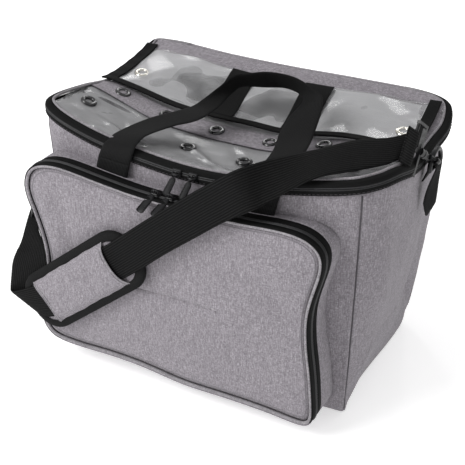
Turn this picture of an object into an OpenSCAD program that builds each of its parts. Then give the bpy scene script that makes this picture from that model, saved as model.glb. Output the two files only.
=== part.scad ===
// Knitting bag: soft-sided zip-top bag with a clear lid window, yarn grommets, a clear
// needle flap, a zipped front pocket, two carry handles and a detachable shoulder strap.
// Millimetres. X runs to the right, Y to the back, Z up. The origin is the middle of the base.

/* [Bag] */
// Width of the bag at the rim, side to side
rim_w = 384; // [370:2:400]
// Depth of the bag at the rim, front to back
rim_d = 236; // [232:2:240]
// Width of the base
base_w = 344; // [330:2:360]
// Depth of the base
base_d = 204; // [198:2:210]
// Height of the back panel
back_h = 266; // [264:1:268]
// Height of the front panel
front_h = 246; // [244:1:248]
// Thickness of the padded panels
panel_t = 4; // [3:0.5:5]
// Radius of the rim's corners, seen from above
rim_r = 36; // [30:1:44]
// Radius of the base's corners, seen from above
base_r = 24; // [18:1:30]

/* [Lid] */
// Width of the black tape that binds the lid
bind_w = 17; // [12:1:20]
// Height of the lid's side band above its zipper
band_h = 7; // [6:0.5:8]
// Outer radius of a yarn grommet
grommet_r = 9; // [8:0.5:10]
// Radius of the yarn hole in a grommet
grommet_bore_r = 4.5; // [3.5:0.25:5]
// Spacing of the yarn grommets along a row
grommet_step = 60; // [55:1:62]
// Depth of the needle flap, front to back
flap_d = 90; // [80:1:92]
// Width of a divider band on the needle flap
band_w = 32; // [25:1:38]

/* [Front pocket] */
// Left edge of the pocket
pocket_x0 = -184; // [-186:1:-170]
// Right edge of the pocket
pocket_x1 = 162; // [150:1:168]
// Height of the pocket's top edge
pocket_top = 236; // [228:1:238]
// How far forward the pocket's face stands
pocket_y = 148; // [144:1:148]
// Radius of the pocket's top corners
pocket_r = 36; // [28:1:44]

/* [Straps] */
// Width of the carry handles' webbing
handle_w = 38; // [36:1:40]
// Thickness of the webbing
web_t = 2; // [1.5:0.25:2]
// Half the spacing of a handle's two legs
handle_x = 88; // [84:1:92]
// Width of the shoulder strap's webbing
strap_w = 43; // [41:1:45]

/* [Hardware] */
// Radius of a ring's arc, at the middle of its wire
ring_r = 17; // [16.5:0.25:17.5]
// Radius of a ring's wire
ring_wire = 2.5; // [2.3:0.1:2.6]
// How far a ring stands off the side panel
ring_off = 14; // [13.5:0.5:15]
// Distance of a ring behind the middle of the side
ring_y = 14; // [10:1:16]
// Height of a ring's bar
ring_z = 253; // [252:1:254]

/* [Hidden] */
$fn = 48;
slope = (back_h - front_h) / rim_d;
tilt = atan(slope);
rim_dl = rim_d / cos(tilt);            // depth measured along the sloping lid
side_k = (rim_w - base_w) / 2 / ((back_h + front_h) / 2);
lean_s = atan(side_k);                 // lean of the side panels
front_k = (rim_d - base_d) / 2 / front_h;
lean_f = atan(front_k);                // lean of the front panel
back_k = (rim_d - base_d) / 2 / back_h;
lean_b = atan(back_k);                 // lean of the back panel
floor_t = 3;
N = 5;                                 // segments round one corner
hinge_x = 136;                         // half width of the fabric hinge along the back
BLACK = "#1c1c1e"; GREY = "#96919a"; PALE = "#aaa6ac"; CLEAR = "#dfe6ea60"; SILVER = "#c9c8c2";

// ---------------------------------------------------------------- outlines and frames
function arc(cx, cy, r, a0, a1) = [for (i = [0:N]) let (a = a0 + (a1 - a0) * i / N) [cx + r * cos(a), cy + r * sin(a)]];
// a rounded rectangle about the origin, from its front left corner, anticlockwise seen from above
function ring2(w, d, r) = concat(arc(-w/2 + r, -d/2 + r, r, 180, 270), arc(w/2 - r, -d/2 + r, r, 270, 360),
  arc(w/2 - r, d/2 - r, r, 0, 90), arc(-w/2 + r, d/2 - r, r, 90, 180));
function rim_z(y) = back_h + (y - rim_d/2) * slope;
// wall points at height z, inset by t: the wall leans straight from the base outline to the rim outline
function top_pt(i, t) = let (q = ring2(rim_w - 2*t, rim_d - 2*t, rim_r - t)[i], z = rim_z(q[1]))
  [q[0] * (base_w/2 - t + z * side_k) / (rim_w/2 - t), q[1], z];
function base_pt(i, t) = let (q = ring2(base_w - 2*t, base_d - 2*t, base_r - t)[i]) [q[0], q[1], 0];
function wall_pt(i, t, z) = let (a = base_pt(i, t), b = top_pt(i, t)) a + (b - a) * z / b[2];
function rim_pt(i, t, drop) = let (b = top_pt(i, t)) wall_pt(i, t, b[2] - drop);

// a stretch of wall over the outline points listed in I, as one closed solid
module wall(I) {
  n = len(I);
  P = concat([for (i = I) wall_pt(i, 0, floor_t)], [for (i = I) top_pt(i, 0)],
             [for (i = I) wall_pt(i, panel_t, floor_t)], [for (i = I) top_pt(i, panel_t)]);
  // 0..n-1 outer low, n.. outer high, 2n.. inner low, 3n.. inner high
  F = concat(
    [for (k = [0:n-2]) each [[k, n+k, k+1], [k+1, n+k, n+k+1]]],
    [for (k = [0:n-2]) each [[2*n+k, 2*n+k+1, 3*n+k], [2*n+k+1, 3*n+k+1, 3*n+k]]],
    [for (k = [0:n-2]) each [[k, k+1, 2*n+k], [k+1, 2*n+k+1, 2*n+k]]],
    [for (k = [0:n-2]) each [[n+k, 3*n+k, n+k+1], [n+k+1, 3*n+k, 3*n+k+1]]],
    [[0, 2*n, n], [2*n, 3*n, n], [n-1, 2*n-1, 3*n-1], [3*n-1, 2*n-1, 4*n-1]]);
  polyhedron(P, F, convexity = 4);
}
// the lid's own frame: its plane slopes down to the front, z = 0 is the top of the panels
module on_rim() { translate([0, rim_d/2, back_h]) rotate([tilt, 0, 0]) translate([0, -rim_dl/2, 0]) children(); }
// frames lying on the leaning panels: z = 0 at the panel's top, the panel's face at x = 0 or y = 0
module on_right() { translate([rim_w/2, 0, (back_h + front_h)/2]) rotate([0, lean_s, 0]) children(); }
module on_left() { mirror([1, 0, 0]) on_right() children(); }
module on_front() { translate([0, -rim_d/2, front_h]) rotate([lean_f, 0, 0]) children(); }
module on_back() { translate([0, rim_d/2, back_h]) rotate([-lean_b, 0, 0]) children(); }
// a ring-shaped band following the rim, t_out outside it and t_in inside it
module band2(t_out, t_in) {
  difference() {
    polygon(ring2(rim_w + 2*t_out, rim_dl + 2*t_out, rim_r + t_out));
    polygon(ring2(rim_w - 2*t_in, rim_dl - 2*t_in, rim_r - t_in));
  }
}
// the same, open along the back where the fabric hinge is
module open_band2(t_out, t_in) {
  difference() {
    band2(t_out, t_in);
    translate([-hinge_x, rim_dl/2 - 40]) square([2*hinge_x, 60]);
  }
}

// ---------------------------------------------------------------- webbing
function unit(v) = v / norm(v);
function col(S, k) = [for (s = S) s[k]];
// webbing of thickness t between two edges: S lists [edge point, other edge point]
module webbing(S, t = web_t) {
  n = len(S);
  M = [for (s = S) (s[0] + s[1]) / 2];
  T = [for (i = [0:n-1]) unit(i == 0 ? M[1] - M[0] : i == n-1 ? M[n-1] - M[n-2] : unit(M[i+1] - M[i]) + unit(M[i] - M[i-1]))];
  Q = [for (i = [0:n-1]) unit(cross(T[i], S[i][1] - S[i][0])) * t/2];
  P = [for (i = [0:n-1]) each [S[i][0] + Q[i], S[i][1] + Q[i], S[i][1] - Q[i], S[i][0] - Q[i]]];
  F = concat([[0, 1, 2], [0, 2, 3]],
    [for (i = [0:n-2]) for (k = [0:3]) let (a = 4*i + k, b = 4*i + (k+1)%4) each [[a, a+4, b], [b, a+4, b+4]]],
    [[4*n-4, 4*n-2, 4*n-3], [4*n-4, 4*n-1, 4*n-2]]);
  polyhedron(P, F, convexity = 6);
}
// edges from centre points and the direction across: C lists [centre, across]
function edges(C, w) = [for (c = C) [c[0] + unit(c[1]) * w/2, c[0] - unit(c[1]) * w/2]];

// ---------------------------------------------------------------- bag body
module bottom_panel() { color(GREY) linear_extrude(floor_t) polygon(ring2(base_w, base_d, base_r)); }
module base_board() { color("#3a3a3e") translate([0, 0, floor_t]) linear_extrude(2.5) polygon(ring2(base_w - 2*panel_t - 2, base_d - 2*panel_t - 2, base_r - panel_t - 1)); }
module front_panel() { color(GREY) wall([N, N+1]); }
module right_side_panel() { color(GREY) wall([for (i = [N+1 : 3*N+2]) i]); }
module back_panel() { color(GREY) wall([3*N+2, 3*N+3]); }
module left_side_panel() { color(GREY) wall([for (i = [3*N+3 : 5*N+4]) i % (4*N+4)]); }
// thin cup of lining just inside the panels
module lining() {
  n = 4*N + 4; g = panel_t + 0.3; t = g + 0.8; z0 = floor_t + 2.7;
  P = concat([for (i = [0:n-1]) wall_pt(i, g, z0)], [for (i = [0:n-1]) rim_pt(i, g, 0.4)],
             [for (i = [0:n-1]) wall_pt(i, t, z0 + 0.8)], [for (i = [0:n-1]) rim_pt(i, t, 0.4)]);
  F = concat([for (k = [0:n-1]) let (j = (k+1)%n) each [[k, n+k, j], [j, n+k, n+j]]],
    [for (k = [0:n-1]) let (j = (k+1)%n) each [[2*n+k, 2*n+j, 3*n+k], [2*n+j, 3*n+j, 3*n+k]]],
    [for (k = [0:n-1]) let (j = (k+1)%n) each [[n+k, 3*n+k, n+j], [n+j, 3*n+k, 3*n+j]]],
    [[for (k = [0:n-1]) k]], [[for (k = [0:n-1]) 3*n - 1 - k]]);
  color("#5b5c64") polyhedron(P, F, convexity = 6);
}
// zipper tape and its row of coil, body side: left, front and right
module body_zipper_half() {
  color(BLACK) on_rim() union() {
    linear_extrude(8) open_band2(0, 2.2);
    translate([0, 0, 8]) linear_extrude(1.8) open_band2(-0.3, 3);
  }
}
module hinge_strip() { color(GREY) on_rim() translate([-hinge_x + 0.3, rim_dl/2 - 3.4, 0]) cube([2*hinge_x - 0.6, 3.4, 10]); }
module sewn_legs(z0, z1, y0) { for (s = [-1, 1]) translate([s*handle_x - handle_w/2, y0, z0]) cube([handle_w, web_t, z1 - z0]); }
module front_handle_anchors() { color(BLACK) on_front() sewn_legs(-70, -2, -web_t); }
module back_handle_anchors() { color(BLACK) on_back() sewn_legs(-90, -12, 0); }
// webbing tab with a pointed end, sewn to the side, holding the ring's bar in its fold
tab_w = 24; bar_b = (ring_z - (back_h + front_h)/2 + ring_off * sin(lean_s)) / cos(lean_s);
module ring_tab() {
  color(BLACK) on_right() translate([0, ring_y, 0]) difference() {
    union() {
      translate([web_t, 0, 0]) rotate([0, -90, 0]) linear_extrude(web_t) polygon([[-76, 0], [-63, -tab_w/2], [bar_b + 4, -tab_w/2], [bar_b + 4, tab_w/2], [-63, tab_w/2]]);
      translate([0, tab_w/2, 0]) rotate([90, 0, 0]) linear_extrude(tab_w) polygon([[0, bar_b - 7], [ring_off, bar_b - 3.6], [ring_off, bar_b + 3.6], [0, bar_b + 7]]);
      translate([ring_off, tab_w/2, bar_b]) rotate([90, 0, 0]) cylinder(r = ring_wire + 1.2, h = tab_w);
    }
    translate([ring_off, tab_w/2 + 1, bar_b]) rotate([90, 0, 0]) cylinder(r = ring_wire + 0.1, h = tab_w + 2);
  }
}
module right_ring_tab() { ring_tab(); }
module left_ring_tab() { mirror([1, 0, 0]) ring_tab(); }
// slip pocket on the left side, open at the top
module left_side_pocket() {
  color(GREY) on_left() difference() {
    translate([0.05, -74, -238]) cube([11.6, 148, 166]);
    translate([-1, -72.4, -236.4]) cube([11, 144.8, 170]);
  }
}

// ---------------------------------------------------------------- front pocket
// the pocket's outline in X and Z, inset by t
function pocket2(t) = let (x0 = pocket_x0 + t, x1 = pocket_x1 - t, z0 = 7 + t, z1 = pocket_top - t, r = pocket_r - t, b = 24 - t)
  concat(arc(x0 + b, z0 + b, b, 180, 270), arc(x1 - b, z0 + b, b, 270, 360), arc(x1 - r, z1 - r, r, 0, 90), arc(x0 + r, z1 - r, r, 90, 180));
// an extrusion of an X, Z outline from y = -y0 forward to y = -y1
module forward(y0, y1) { translate([0, -y0, 0]) rotate([90, 0, 0]) linear_extrude(y1 - y0) children(); }
module pocket_band2(t0, t1) { difference() { polygon(pocket2(t0)); polygon(pocket2(t1)); } }
module pocket_open_band2(t0, t1) { difference() { pocket_band2(t0, t1); translate([pocket_x0 + 26, 0]) square([pocket_x1 - pocket_x0 - 52, 30]); } }
module pocket_gusset() {
  color(GREY) union() {
    difference() {
      forward(base_d/2 - 2, pocket_y - 13) pocket_band2(0, 2.5);
      // the gusset's back edge follows the leaning front panel, and makes room for the webbing sewn on it
      on_front() translate([-250, -0.1, -300]) cube([500, 60, 400]);
      on_front() for (s = [-1, 1]) translate([s*handle_x - handle_w/2 - 0.3, -web_t - 0.3, -80]) cube([handle_w + 0.6, 10, 90]);
    }
    // flanges that carry it across the panel's rounded corners
    intersection() {
      forward(base_d/2 - 2, pocket_y - 13) polygon(pocket2(0));
      on_front() for (s = [-1, 1]) translate([s*173 - 29, -2.6, -300]) cube([58, 2.5, 400]);
    }
  }
}
module pocket_outer_zipper_half() {
  color(BLACK) union() {
    forward(pocket_y - 13, pocket_y - 9) pocket_open_band2(0, 2.2);
    forward(pocket_y - 9, pocket_y - 7.2) pocket_open_band2(-0.4, 2.6);
  }
}
module pocket_inner_zipper_half() {
  color(BLACK) union() {
    forward(pocket_y - 6.9, pocket_y - 5.1) pocket_open_band2(-0.4, 2.6);
    forward(pocket_y - 5.1, pocket_y) pocket_open_band2(0, 2.2);
  }
}
module pocket_face() { color(GREY) forward(pocket_y - 3, pocket_y) polygon(pocket2(5.2)); }
module pocket_piping() { color(PALE) forward(pocket_y - 4, pocket_y + 1) pocket_band2(2.25, 5.15); }

// ---------------------------------------------------------------- lid
module lid_zipper_half() {
  color(BLACK) on_rim() union() {
    translate([0, 0, 10.1]) linear_extrude(1.8) open_band2(-0.3, 3);
    translate([0, 0, 11.9]) linear_extrude(3.1) open_band2(0, 2.2);
  }
}
module lid_binding() {
  color(BLACK) on_rim() union() {
    translate([0, 0, 15]) linear_extrude(band_h) open_band2(0.5, 2.5);
    translate([0, 0, 20.4]) linear_extrude(1.6 + band_h - 7) open_band2(0.5, bind_w);
  }
}
module lid_piping() {
  color(PALE) on_rim() translate([0, 0, 18.8]) linear_extrude(3.8) difference() {
    band2(-bind_w - 0.05, bind_w + 2.2);
    translate([-hinge_x, rim_dl/2 - 60]) square([2*hinge_x, 80]);
  }
}
module lid_front_window() {
  color(CLEAR) on_rim() translate([0, 0, 18]) linear_extrude(0.8) difference() {
    polygon(ring2(rim_w - 5.2, rim_dl - 5.2, rim_r - 2.6));
    translate([-250, -30]) square([500, 400]);
    for (i = [-2.5:2.5]) translate([i*grommet_step, -68]) circle(r = grommet_bore_r + 0.8);
  }
}
module lid_rear_window() {
  color(CLEAR) on_rim() translate([0, 0, 18]) linear_extrude(0.8) difference() {
    polygon(ring2(rim_w - 5.2, rim_dl - 5.2, rim_r - 2.6));
    translate([-250, -408]) square([500, 400]);
    translate([-hinge_x, rim_dl/2 - 3.8]) square([2*hinge_x, 20]);
  }
}
module grommet_strip() {
  color(GREY) on_rim() translate([0, 0, 18.8]) linear_extrude(1.6) difference() {
    translate([-rim_w/2 + bind_w + 2.3, -36]) square([rim_w - 2*bind_w - 4.6, 32]);
    for (i = [-2.5:2.5]) translate([i*grommet_step, -20]) circle(r = grommet_bore_r + 0.8);
  }
}
module lid_rear_frame() {
  iw = rim_w - 2*bind_w - 4.6;
  color(GREY) on_rim() union() {
    translate([0, 0, 18.8]) linear_extrude(1.6) difference() {
      union() {
        intersection() {
          polygon(ring2(iw, rim_dl - 2*bind_w - 4.6, rim_r - bind_w - 2.3));
          translate([-250, 4]) square([500, 200]);
        }
        translate([-hinge_x + 0.3, 60]) square([2*hinge_x - 0.6, rim_dl/2 - 60]);
      }
      translate([-iw/2 + 30, 3]) square([iw - 60, 78]);
    }
    translate([-hinge_x + 0.3, rim_dl/2 - 3.4, 10.1]) cube([2*hinge_x - 0.6, 3.4, 9.5]);
  }
}
module grommet(z, sheet) {
  translate([0, 0, z]) difference() {
    union() {
      translate([0, 0, sheet]) cylinder(r = grommet_r, h = 1.6);
      cylinder(r = grommet_bore_r + 0.6, h = sheet + 0.1);
      translate([0, 0, -1.2]) cylinder(r = grommet_r - 1, h = 1.2);
    }
    translate([0, 0, -3]) cylinder(r = grommet_bore_r, h = 8);
  }
}
module yarn_grommets() {
  color(BLACK) on_rim() for (i = [-2.5:2.5]) {
    translate([i*grommet_step, -20, 0]) grommet(18.8, 1.6);
    translate([i*grommet_step, -68, 0]) grommet(18, 0.8);
  }
}

// ---------------------------------------------------------------- needle flap
flap_w = rim_w - 48; fz = 22.8;
module flap_backing() { color(CLEAR) on_rim() translate([-flap_w/2, 0, fz]) cube([flap_w, flap_d, 0.8]); }
module flap_binding() {
  color(BLACK) on_rim() translate([0, 0, fz + 0.8]) linear_extrude(2.4) difference() {
    translate([-flap_w/2, 0]) square([flap_w, flap_d]);
    translate([-flap_w/2 + 14, 9]) square([flap_w - 28, flap_d - 15]);
  }
}
module flap_window() {
  color(CLEAR) on_rim() translate([0, 0, fz + 2]) linear_extrude(0.8) difference() {
    translate([-flap_w/2 + 14.05, 9.05]) square([flap_w - 28.1, flap_d - 15.1]);
    for (s = [-1, 1]) translate([s*(flap_w/2 - 28), 32]) circle(r = 5.2);
  }
}
module flap_divider_bands() { color(BLACK) on_rim() for (s = [-1, 1]) translate([s*46 - band_w/2, 9.1, fz + 2.8]) cube([band_w, flap_d - 15.2, 1.2]); }
module flap_eyelets() {
  color(SILVER) on_rim() for (s = [-1, 1]) translate([s*(flap_w/2 - 28), 32, fz + 2]) difference() {
    union() {
      translate([0, 0, 0.8]) cylinder(r = 9, h = 1.4);
      cylinder(r = 5, h = 1);
      translate([0, 0, -1]) cylinder(r = 8, h = 1);
    }
    translate([0, 0, -3]) cylinder(r = 4.5, h = 8);
  }
}

// ---------------------------------------------------------------- zipper sliders and pulls
// slider on the front of a zipper: u is the width, the pin runs across at y = -5.6
module slider() {
  difference() {
    union() {
      translate([-4.6, -2.6, -5.5]) cube([9.2, 2.2, 11]);
      translate([-2.6, -7.2, 0.6]) cube([5.2, 5, 3]);
      translate([-3.4, -5.6, 2.1]) rotate([0, 90, 0]) cylinder(r = 1.2, h = 6.8);
    }
    translate([-1.3, -8, -1]) cube([2.6, 7, 5.6]);
  }
  translate([-3.4, -5.6, 2.1]) rotate([0, 90, 0]) cylinder(r = 0.9, h = 6.8);
}
// pull hanging from its pin, the pin along x through the origin
module pull() {
  difference() {
    union() {
      translate([-1.1, 0, 0]) rotate([0, 90, 0]) cylinder(r = 2.4, h = 2.2);
      translate([-1.1, -0.9, -7]) cube([2.2, 1.8, 6]);
      translate([0, 0.9, -8]) rotate([90, 0, 0]) linear_extrude(1.8) polygon([[-1.8, 2], [1.8, 2], [3, -2], [3, -10.5], [2, -12], [-2, -12], [-3, -10.5], [-3, -2]]);
    }
    translate([-2, 0, 0]) rotate([0, 90, 0]) cylinder(r = 1, h = 4);
    translate([-1.5, -3, -18]) cube([3, 6, 4]);
  }
}
module at_lid_zip(x) { on_rim() translate([x, -rim_dl/2 - 0.5, 10]) children(); }
module lid_slider_left() { color(BLACK) at_lid_zip(-9) slider(); }
module lid_slider_right() { color(BLACK) at_lid_zip(9) slider(); }
module lid_pull_left() { color(BLACK) at_lid_zip(-9) translate([0, -5.6, 2.1]) rotate([-25, 0, 0]) pull(); }
module lid_pull_right() { color(BLACK) at_lid_zip(9) translate([0, -5.6, 2.1]) rotate([-25, 0, 0]) pull(); }
// the pocket's zipper faces up along the top edge, so its sliders lie on top and their pulls hang over the face
module on_pocket_top(x) { translate([x, -pocket_y + 7, pocket_top + 0.5]) rotate([-90, 0, 0]) mirror([0, 0, 1]) children(); }
module pocket_slider_left() { color(BLACK) on_pocket_top(-36) slider(); }
module pocket_slider_right() { color(BLACK) on_pocket_top(-19) slider(); }
module pocket_pull_left() { color(BLACK) translate([-36, -pocket_y + 4.9, pocket_top + 6.1]) rotate([-65, 0, 0]) pull(); }
module pocket_pull_right() { color(BLACK) translate([-19, -pocket_y + 4.9, pocket_top + 6.1]) rotate([-65, 0, 0]) pull(); }

// ---------------------------------------------------------------- carry handles
// front handle lying back over the lid: pairs of outer and inner edge points
FRONT = [[[-107, -121.5, 247], [-69, -121.5, 247]], [[-106, -124.5, 262], [-68, -124.5, 262]], [[-102, -123, 273], [-66, -126, 272.5]],
  [[-93, -98, 276.5], [-60, -113, 277.5]], [[-79, -72, 277.5], [-45, -80, 279]], [[-58, -46, 280], [-26, -59, 281]],
  [[-50, -29, 282], [-22, -30, 284]], [[-33, -12, 297], [-22, 8, 289]], [[-19, 2, 310], [-18, 23, 291]],
  [[-9, 9, 312], [5, 33, 291]], [[12, 19, 315], [23, 41, 291]], [[46, 15, 317], [45, 33, 291]],
  [[76, 2, 313], [56, 16, 290]], [[91, -10, 309], [62, -15, 287]], [[97, -43, 288], [67, -44, 281.5]],
  [[103, -75, 283.5], [73, -76, 277]], [[104, -106, 277.5], [73, -107, 273.8]], [[106, -124, 273], [69, -125, 272]],
  [[106, -124.5, 262], [68, -124.5, 262]], [[107, -121.5, 247], [69, -121.5, 247]]];
module front_handle() { color(BLACK) webbing(FRONT); }
// back handle hanging down behind the bag
BACK = [[[-107, 119.6, 255], [-69, 119.6, 255]], [[-107, 122, 264], [-69, 122, 264]], [[-107, 126, 267], [-69, 126, 267]],
  [[-107, 130, 262], [-69, 130, 262]], [[-105, 131, 220], [-67, 131, 222]], [[-98, 131, 170], [-62, 133, 176]],
  [[-84, 132, 130], [-50, 136, 142]], [[-60, 132, 100], [-36, 142, 122]], [[-32, 132, 86], [-20, 147, 114]],
  [[0, 132, 82], [0, 149, 112]], [[32, 132, 86], [20, 147, 114]], [[60, 132, 100], [36, 142, 122]],
  [[84, 132, 130], [50, 136, 142]], [[98, 131, 170], [62, 133, 176]], [[105, 131, 220], [67, 131, 222]],
  [[107, 130, 262], [69, 130, 262]], [[107, 126, 267], [69, 126, 267]], [[107, 122, 264], [69, 122, 264]], [[107, 119.6, 255], [69, 119.6, 255]]];
module back_handle() { color(BLACK) webbing(BACK); }

// ---------------------------------------------------------------- rings and snap hooks
// ring standing up from its bar, which turns in the tab's fold
module d_ring() {
  union() {
    translate([0, -ring_r, 0]) rotate([-90, 0, 0]) cylinder(r = ring_wire, h = 2*ring_r);
    rotate([0, -90, 0]) rotate([0, 0, -90]) rotate_extrude(angle = 180) translate([ring_r, 0]) circle(r = ring_wire, $fn = 32);
    for (s = [-1, 1]) translate([0, s*ring_r, 0]) sphere(r = ring_wire);
  }
}
bar_x = rim_w/2 + ring_off * cos(lean_s) + bar_b * sin(lean_s);
module on_bar() { translate([bar_x, ring_y, ring_z]) children(); }
module at_right_ring() { on_bar() children(); }
// the left ring hangs down from its bar
module at_left_ring() { mirror([1, 0, 0]) on_bar() mirror([0, 0, 1]) children(); }
module right_ring() { color(BLACK) at_right_ring() d_ring(); }
module left_ring() { color(BLACK) at_left_ring() d_ring(); }
// how far round from the ring's top each hook pulls, and how far it leans over the lid
hook_ar = 52; hook_br = 11; hook_al = 50;
// a hook's frame: its origin on the ring's wire, z along the pull
module on_ring(a, b) { rotate([a, 0, 0]) translate([0, 0, ring_r]) rotate([0, -b, 0]) children(); }
HC = 2.8; HR = 8; HW = 2.5; HL = 48;   // hook's eye: centre, radius and wire; distance to the webbing's bar
module snap_hook() {
  difference() {
    union() {
      translate([0, 0, HC]) rotate([90, 0, 0]) rotate([0, 0, 90]) rotate_extrude(angle = 288) translate([HR, 0]) circle(r = HW, $fn = 28);
      translate([0, 0, HC + HR - 1]) cylinder(r = 3.4, h = 12);
      translate([0, 0, 20.6]) cylinder(r = 4.8, h = 4);
      translate([1, -2.4, HC + HR - 2.6]) cube([4.8, 4.8, 5.2]);
    }
    // slot for the gate
    translate([1.9, -1.3, HC + HR - 6]) cube([8, 2.6, 10]);
  }
  translate([4, -2.4, HC + HR]) rotate([-90, 0, 0]) cylinder(r = 0.8, h = 4.8);
}
// sprung gate that closes the hook's mouth, on its pin
module hook_gate() {
  difference() {
    union() {
      translate([4, -1.1, HC + HR]) rotate([-90, 0, 0]) cylinder(r = 1.9, h = 2.2);
      translate([4, -1.1, HC + HR]) rotate([0, 57, 0]) translate([0, 0, -1.2]) cube([5.8, 2.2, 2.4]);
    }
    translate([4, -3, HC + HR]) rotate([-90, 0, 0]) cylinder(r = 0.88, h = 6);
  }
}
// eye for the webbing, turning on the hook's shank, its bar along y
module strap_eye() {
  translate([0, 0, 24.9]) cylinder(r = 4.4, h = 6);
  difference() {
    translate([-1.8, -strap_w/2 - 4.5, 29.5]) cube([3.6, strap_w + 9, HL + 1.7 - 29.5]);
    translate([-5, -strap_w/2 - 1.5, 33]) cube([10, strap_w + 3, 30]);
  }
  translate([0, -strap_w/2 - 3, HL]) rotate([-90, 0, 0]) cylinder(r = 1.7, h = strap_w + 6);
}
module right_strap_eye() { color(BLACK) at_right_ring() on_ring(hook_ar, hook_br) strap_eye(); }
module right_snap_hook() { color(BLACK) at_right_ring() on_ring(hook_ar, hook_br) snap_hook(); }
module right_hook_gate() { color(BLACK) at_right_ring() on_ring(hook_ar, hook_br) hook_gate(); }
module left_strap_eye() { color(BLACK) at_left_ring() on_ring(hook_al, 0) strap_eye(); }
module left_snap_hook() { color(BLACK) at_left_ring() on_ring(hook_al, 0) snap_hook(); }
module left_hook_gate() { color(BLACK) at_left_ring() on_ring(hook_al, 0) hook_gate(); }

// ---------------------------------------------------------------- shoulder strap
// where each hook's webbing bar is, the way it pulls and its bar's direction
pull_r = [-sin(hook_br), -sin(hook_ar)*cos(hook_br), cos(hook_ar)*cos(hook_br)];
bar_r = [bar_x, ring_y - ring_r*sin(hook_ar), ring_z + ring_r*cos(hook_ar)] + HL*pull_r;
across_r = [0, cos(hook_ar), sin(hook_ar)];
pull_l = [0, -sin(hook_al), -cos(hook_al)];
bar_l = [-bar_x, ring_y, ring_z] + (ring_r + HL)*pull_l;
across_l = [0, -cos(hook_al), sin(hook_al)];
// webbing sewn round a bar at P: n is the outer side, u the way the strap leaves
function round_bar(P, u, n, across) = concat([[P + 11*u - 1.5*n, across], [P + 2*u - 3*n, across]],
  [for (a = [-90, -45, 0, 45, 90]) [P + 3*(sin(a)*n - cos(a)*u), across]], [[P + 17*u + 1.3*n, across]]);
RIGHT_END = edges(round_bar(bar_r, pull_r, cross(across_r, pull_r), across_r), strap_w);
LEFT_END = edges(round_bar(bar_l, pull_l, cross(pull_l, across_l), across_l), strap_w);
// over the lid's right front, down across the front, a fold at the lower left, then up the left side
DOWN = [[[184, -38, 315], [185, -66, 283]], [[149, -60, 296], [163, -96, 284]], [[118, -93, 294], [134, -128, 282]], [[100.5, -113, 294], [115.5, -141, 270]],
  [[83, -131, 290.5], [96, -150, 255.3]],
  [[33.5, -162, 266.5], [60, -164, 233]], [[-24, -164, 220.8], [4, -164, 188]], [[-104.6, -164, 149.3], [-77.1, -164, 116.3]]];
UP = [[[-211.2, -164, 59.8], [-167.5, -164, 40.3]], [[-214.1, -161.1, 57.8], [-169.1, -161.1, 36.8]], [[-214.9, -158.1, 56.3], [-169.9, -158.1, 35.3]],
  [[-214.1, -155.1, 57.8], [-169.1, -155.1, 36.8]], [[-212.5, -153, 61.3], [-167.5, -153, 40.3]], [[-218, -152.5, 100], [-175, -152.2, 94]],
  [[-217, -144, 124], [-186, -152.5, 146]], [[-212.2, -120.3, 135.6], [-191.4, -139.3, 168.1]], [[-214.6, -84.7, 157.9], [-193.8, -103.7, 190.4]], [[-205.5, -59.5, 169.5], [-205, -80.5, 206.5]]];
function back_to_front(L) = [for (i = [len(L)-1:-1:0]) L[i]];
module shoulder_strap() { color(BLACK) webbing(concat(RIGHT_END, DOWN, UP, back_to_front(LEFT_END))); }
// pad behind the webbing with a fabric sleeve over it: x runs along the strap, z across it
module on_pad() { translate([-118, -164, 110]) rotate([0, -40, 0]) children(); }
module pad2(l, w, r) { hull() for (sx = [-1, 1], sz = [-1, 1]) translate([sx*(l/2 - r), sz*(w/2 - r)]) circle(r = r, $fn = 32); }
module pad_slab(y0, y1) { translate([0, y1, 0]) rotate([90, 0, 0]) linear_extrude(y1 - y0) children(); }
module shoulder_pad() { color(GREY) on_pad() pad_slab(1.4, 6.8) pad2(149, 57, 16); }
module pad_binding() { color(BLACK) on_pad() pad_slab(1.4, 7.4) difference() { pad2(165, 73, 24); pad2(149.2, 57.2, 16.1); } }
module pad_sleeve() {
  color(GREY) on_pad() difference() {
    translate([-64, -2.8, -26.5]) cube([128, 4.1, 53]);
    translate([-100, -1.3, -strap_w/2 - 1.4]) cube([200, 2.6, strap_w + 2.8]);
  }
}
// slide adjuster: outer frame over the webbing, middle bar behind it
module strap_adjuster() {
  color(BLACK) translate([-203, -112, 163]) rotate([-36.05, -49.11, -42.36]) union() {
    for (s = [-1, 1]) translate([s*(strap_w/2 + 3) - 1.5, -3, -13]) cube([3, 5.6, 26]);
    for (z = [-13, 9.5]) translate([-strap_w/2 - 2, -3.6, z]) cube([strap_w + 4, 2, 3.5]);
    translate([-strap_w/2 - 2, 1.6, -1.8]) cube([strap_w + 4, 1.4, 3.6]);
  }
}

bottom_panel();
base_board();
front_panel();
back_panel();
left_side_panel();
right_side_panel();
lining();
body_zipper_half();
hinge_strip();
front_handle_anchors();
back_handle_anchors();
left_ring_tab();
right_ring_tab();
left_side_pocket();
pocket_gusset();
pocket_outer_zipper_half();
lid_binding();
lid_zipper_half();
lid_piping();
lid_front_window();
lid_rear_window();
lid_rear_frame();
grommet_strip();
yarn_grommets();
flap_backing();
flap_window();
flap_binding();
flap_divider_bands();
flap_eyelets();
pocket_face();
pocket_inner_zipper_half();
pocket_piping();
front_handle();
back_handle();
shoulder_strap();
strap_adjuster();
shoulder_pad();
pad_sleeve();
pad_binding();
left_ring();
right_ring();
left_strap_eye();
right_strap_eye();
left_snap_hook();
right_snap_hook();
left_hook_gate();
right_hook_gate();
lid_slider_left();
lid_slider_right();
lid_pull_left();
lid_pull_right();
pocket_slider_left();
pocket_slider_right();
pocket_pull_left();
pocket_pull_right();
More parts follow.
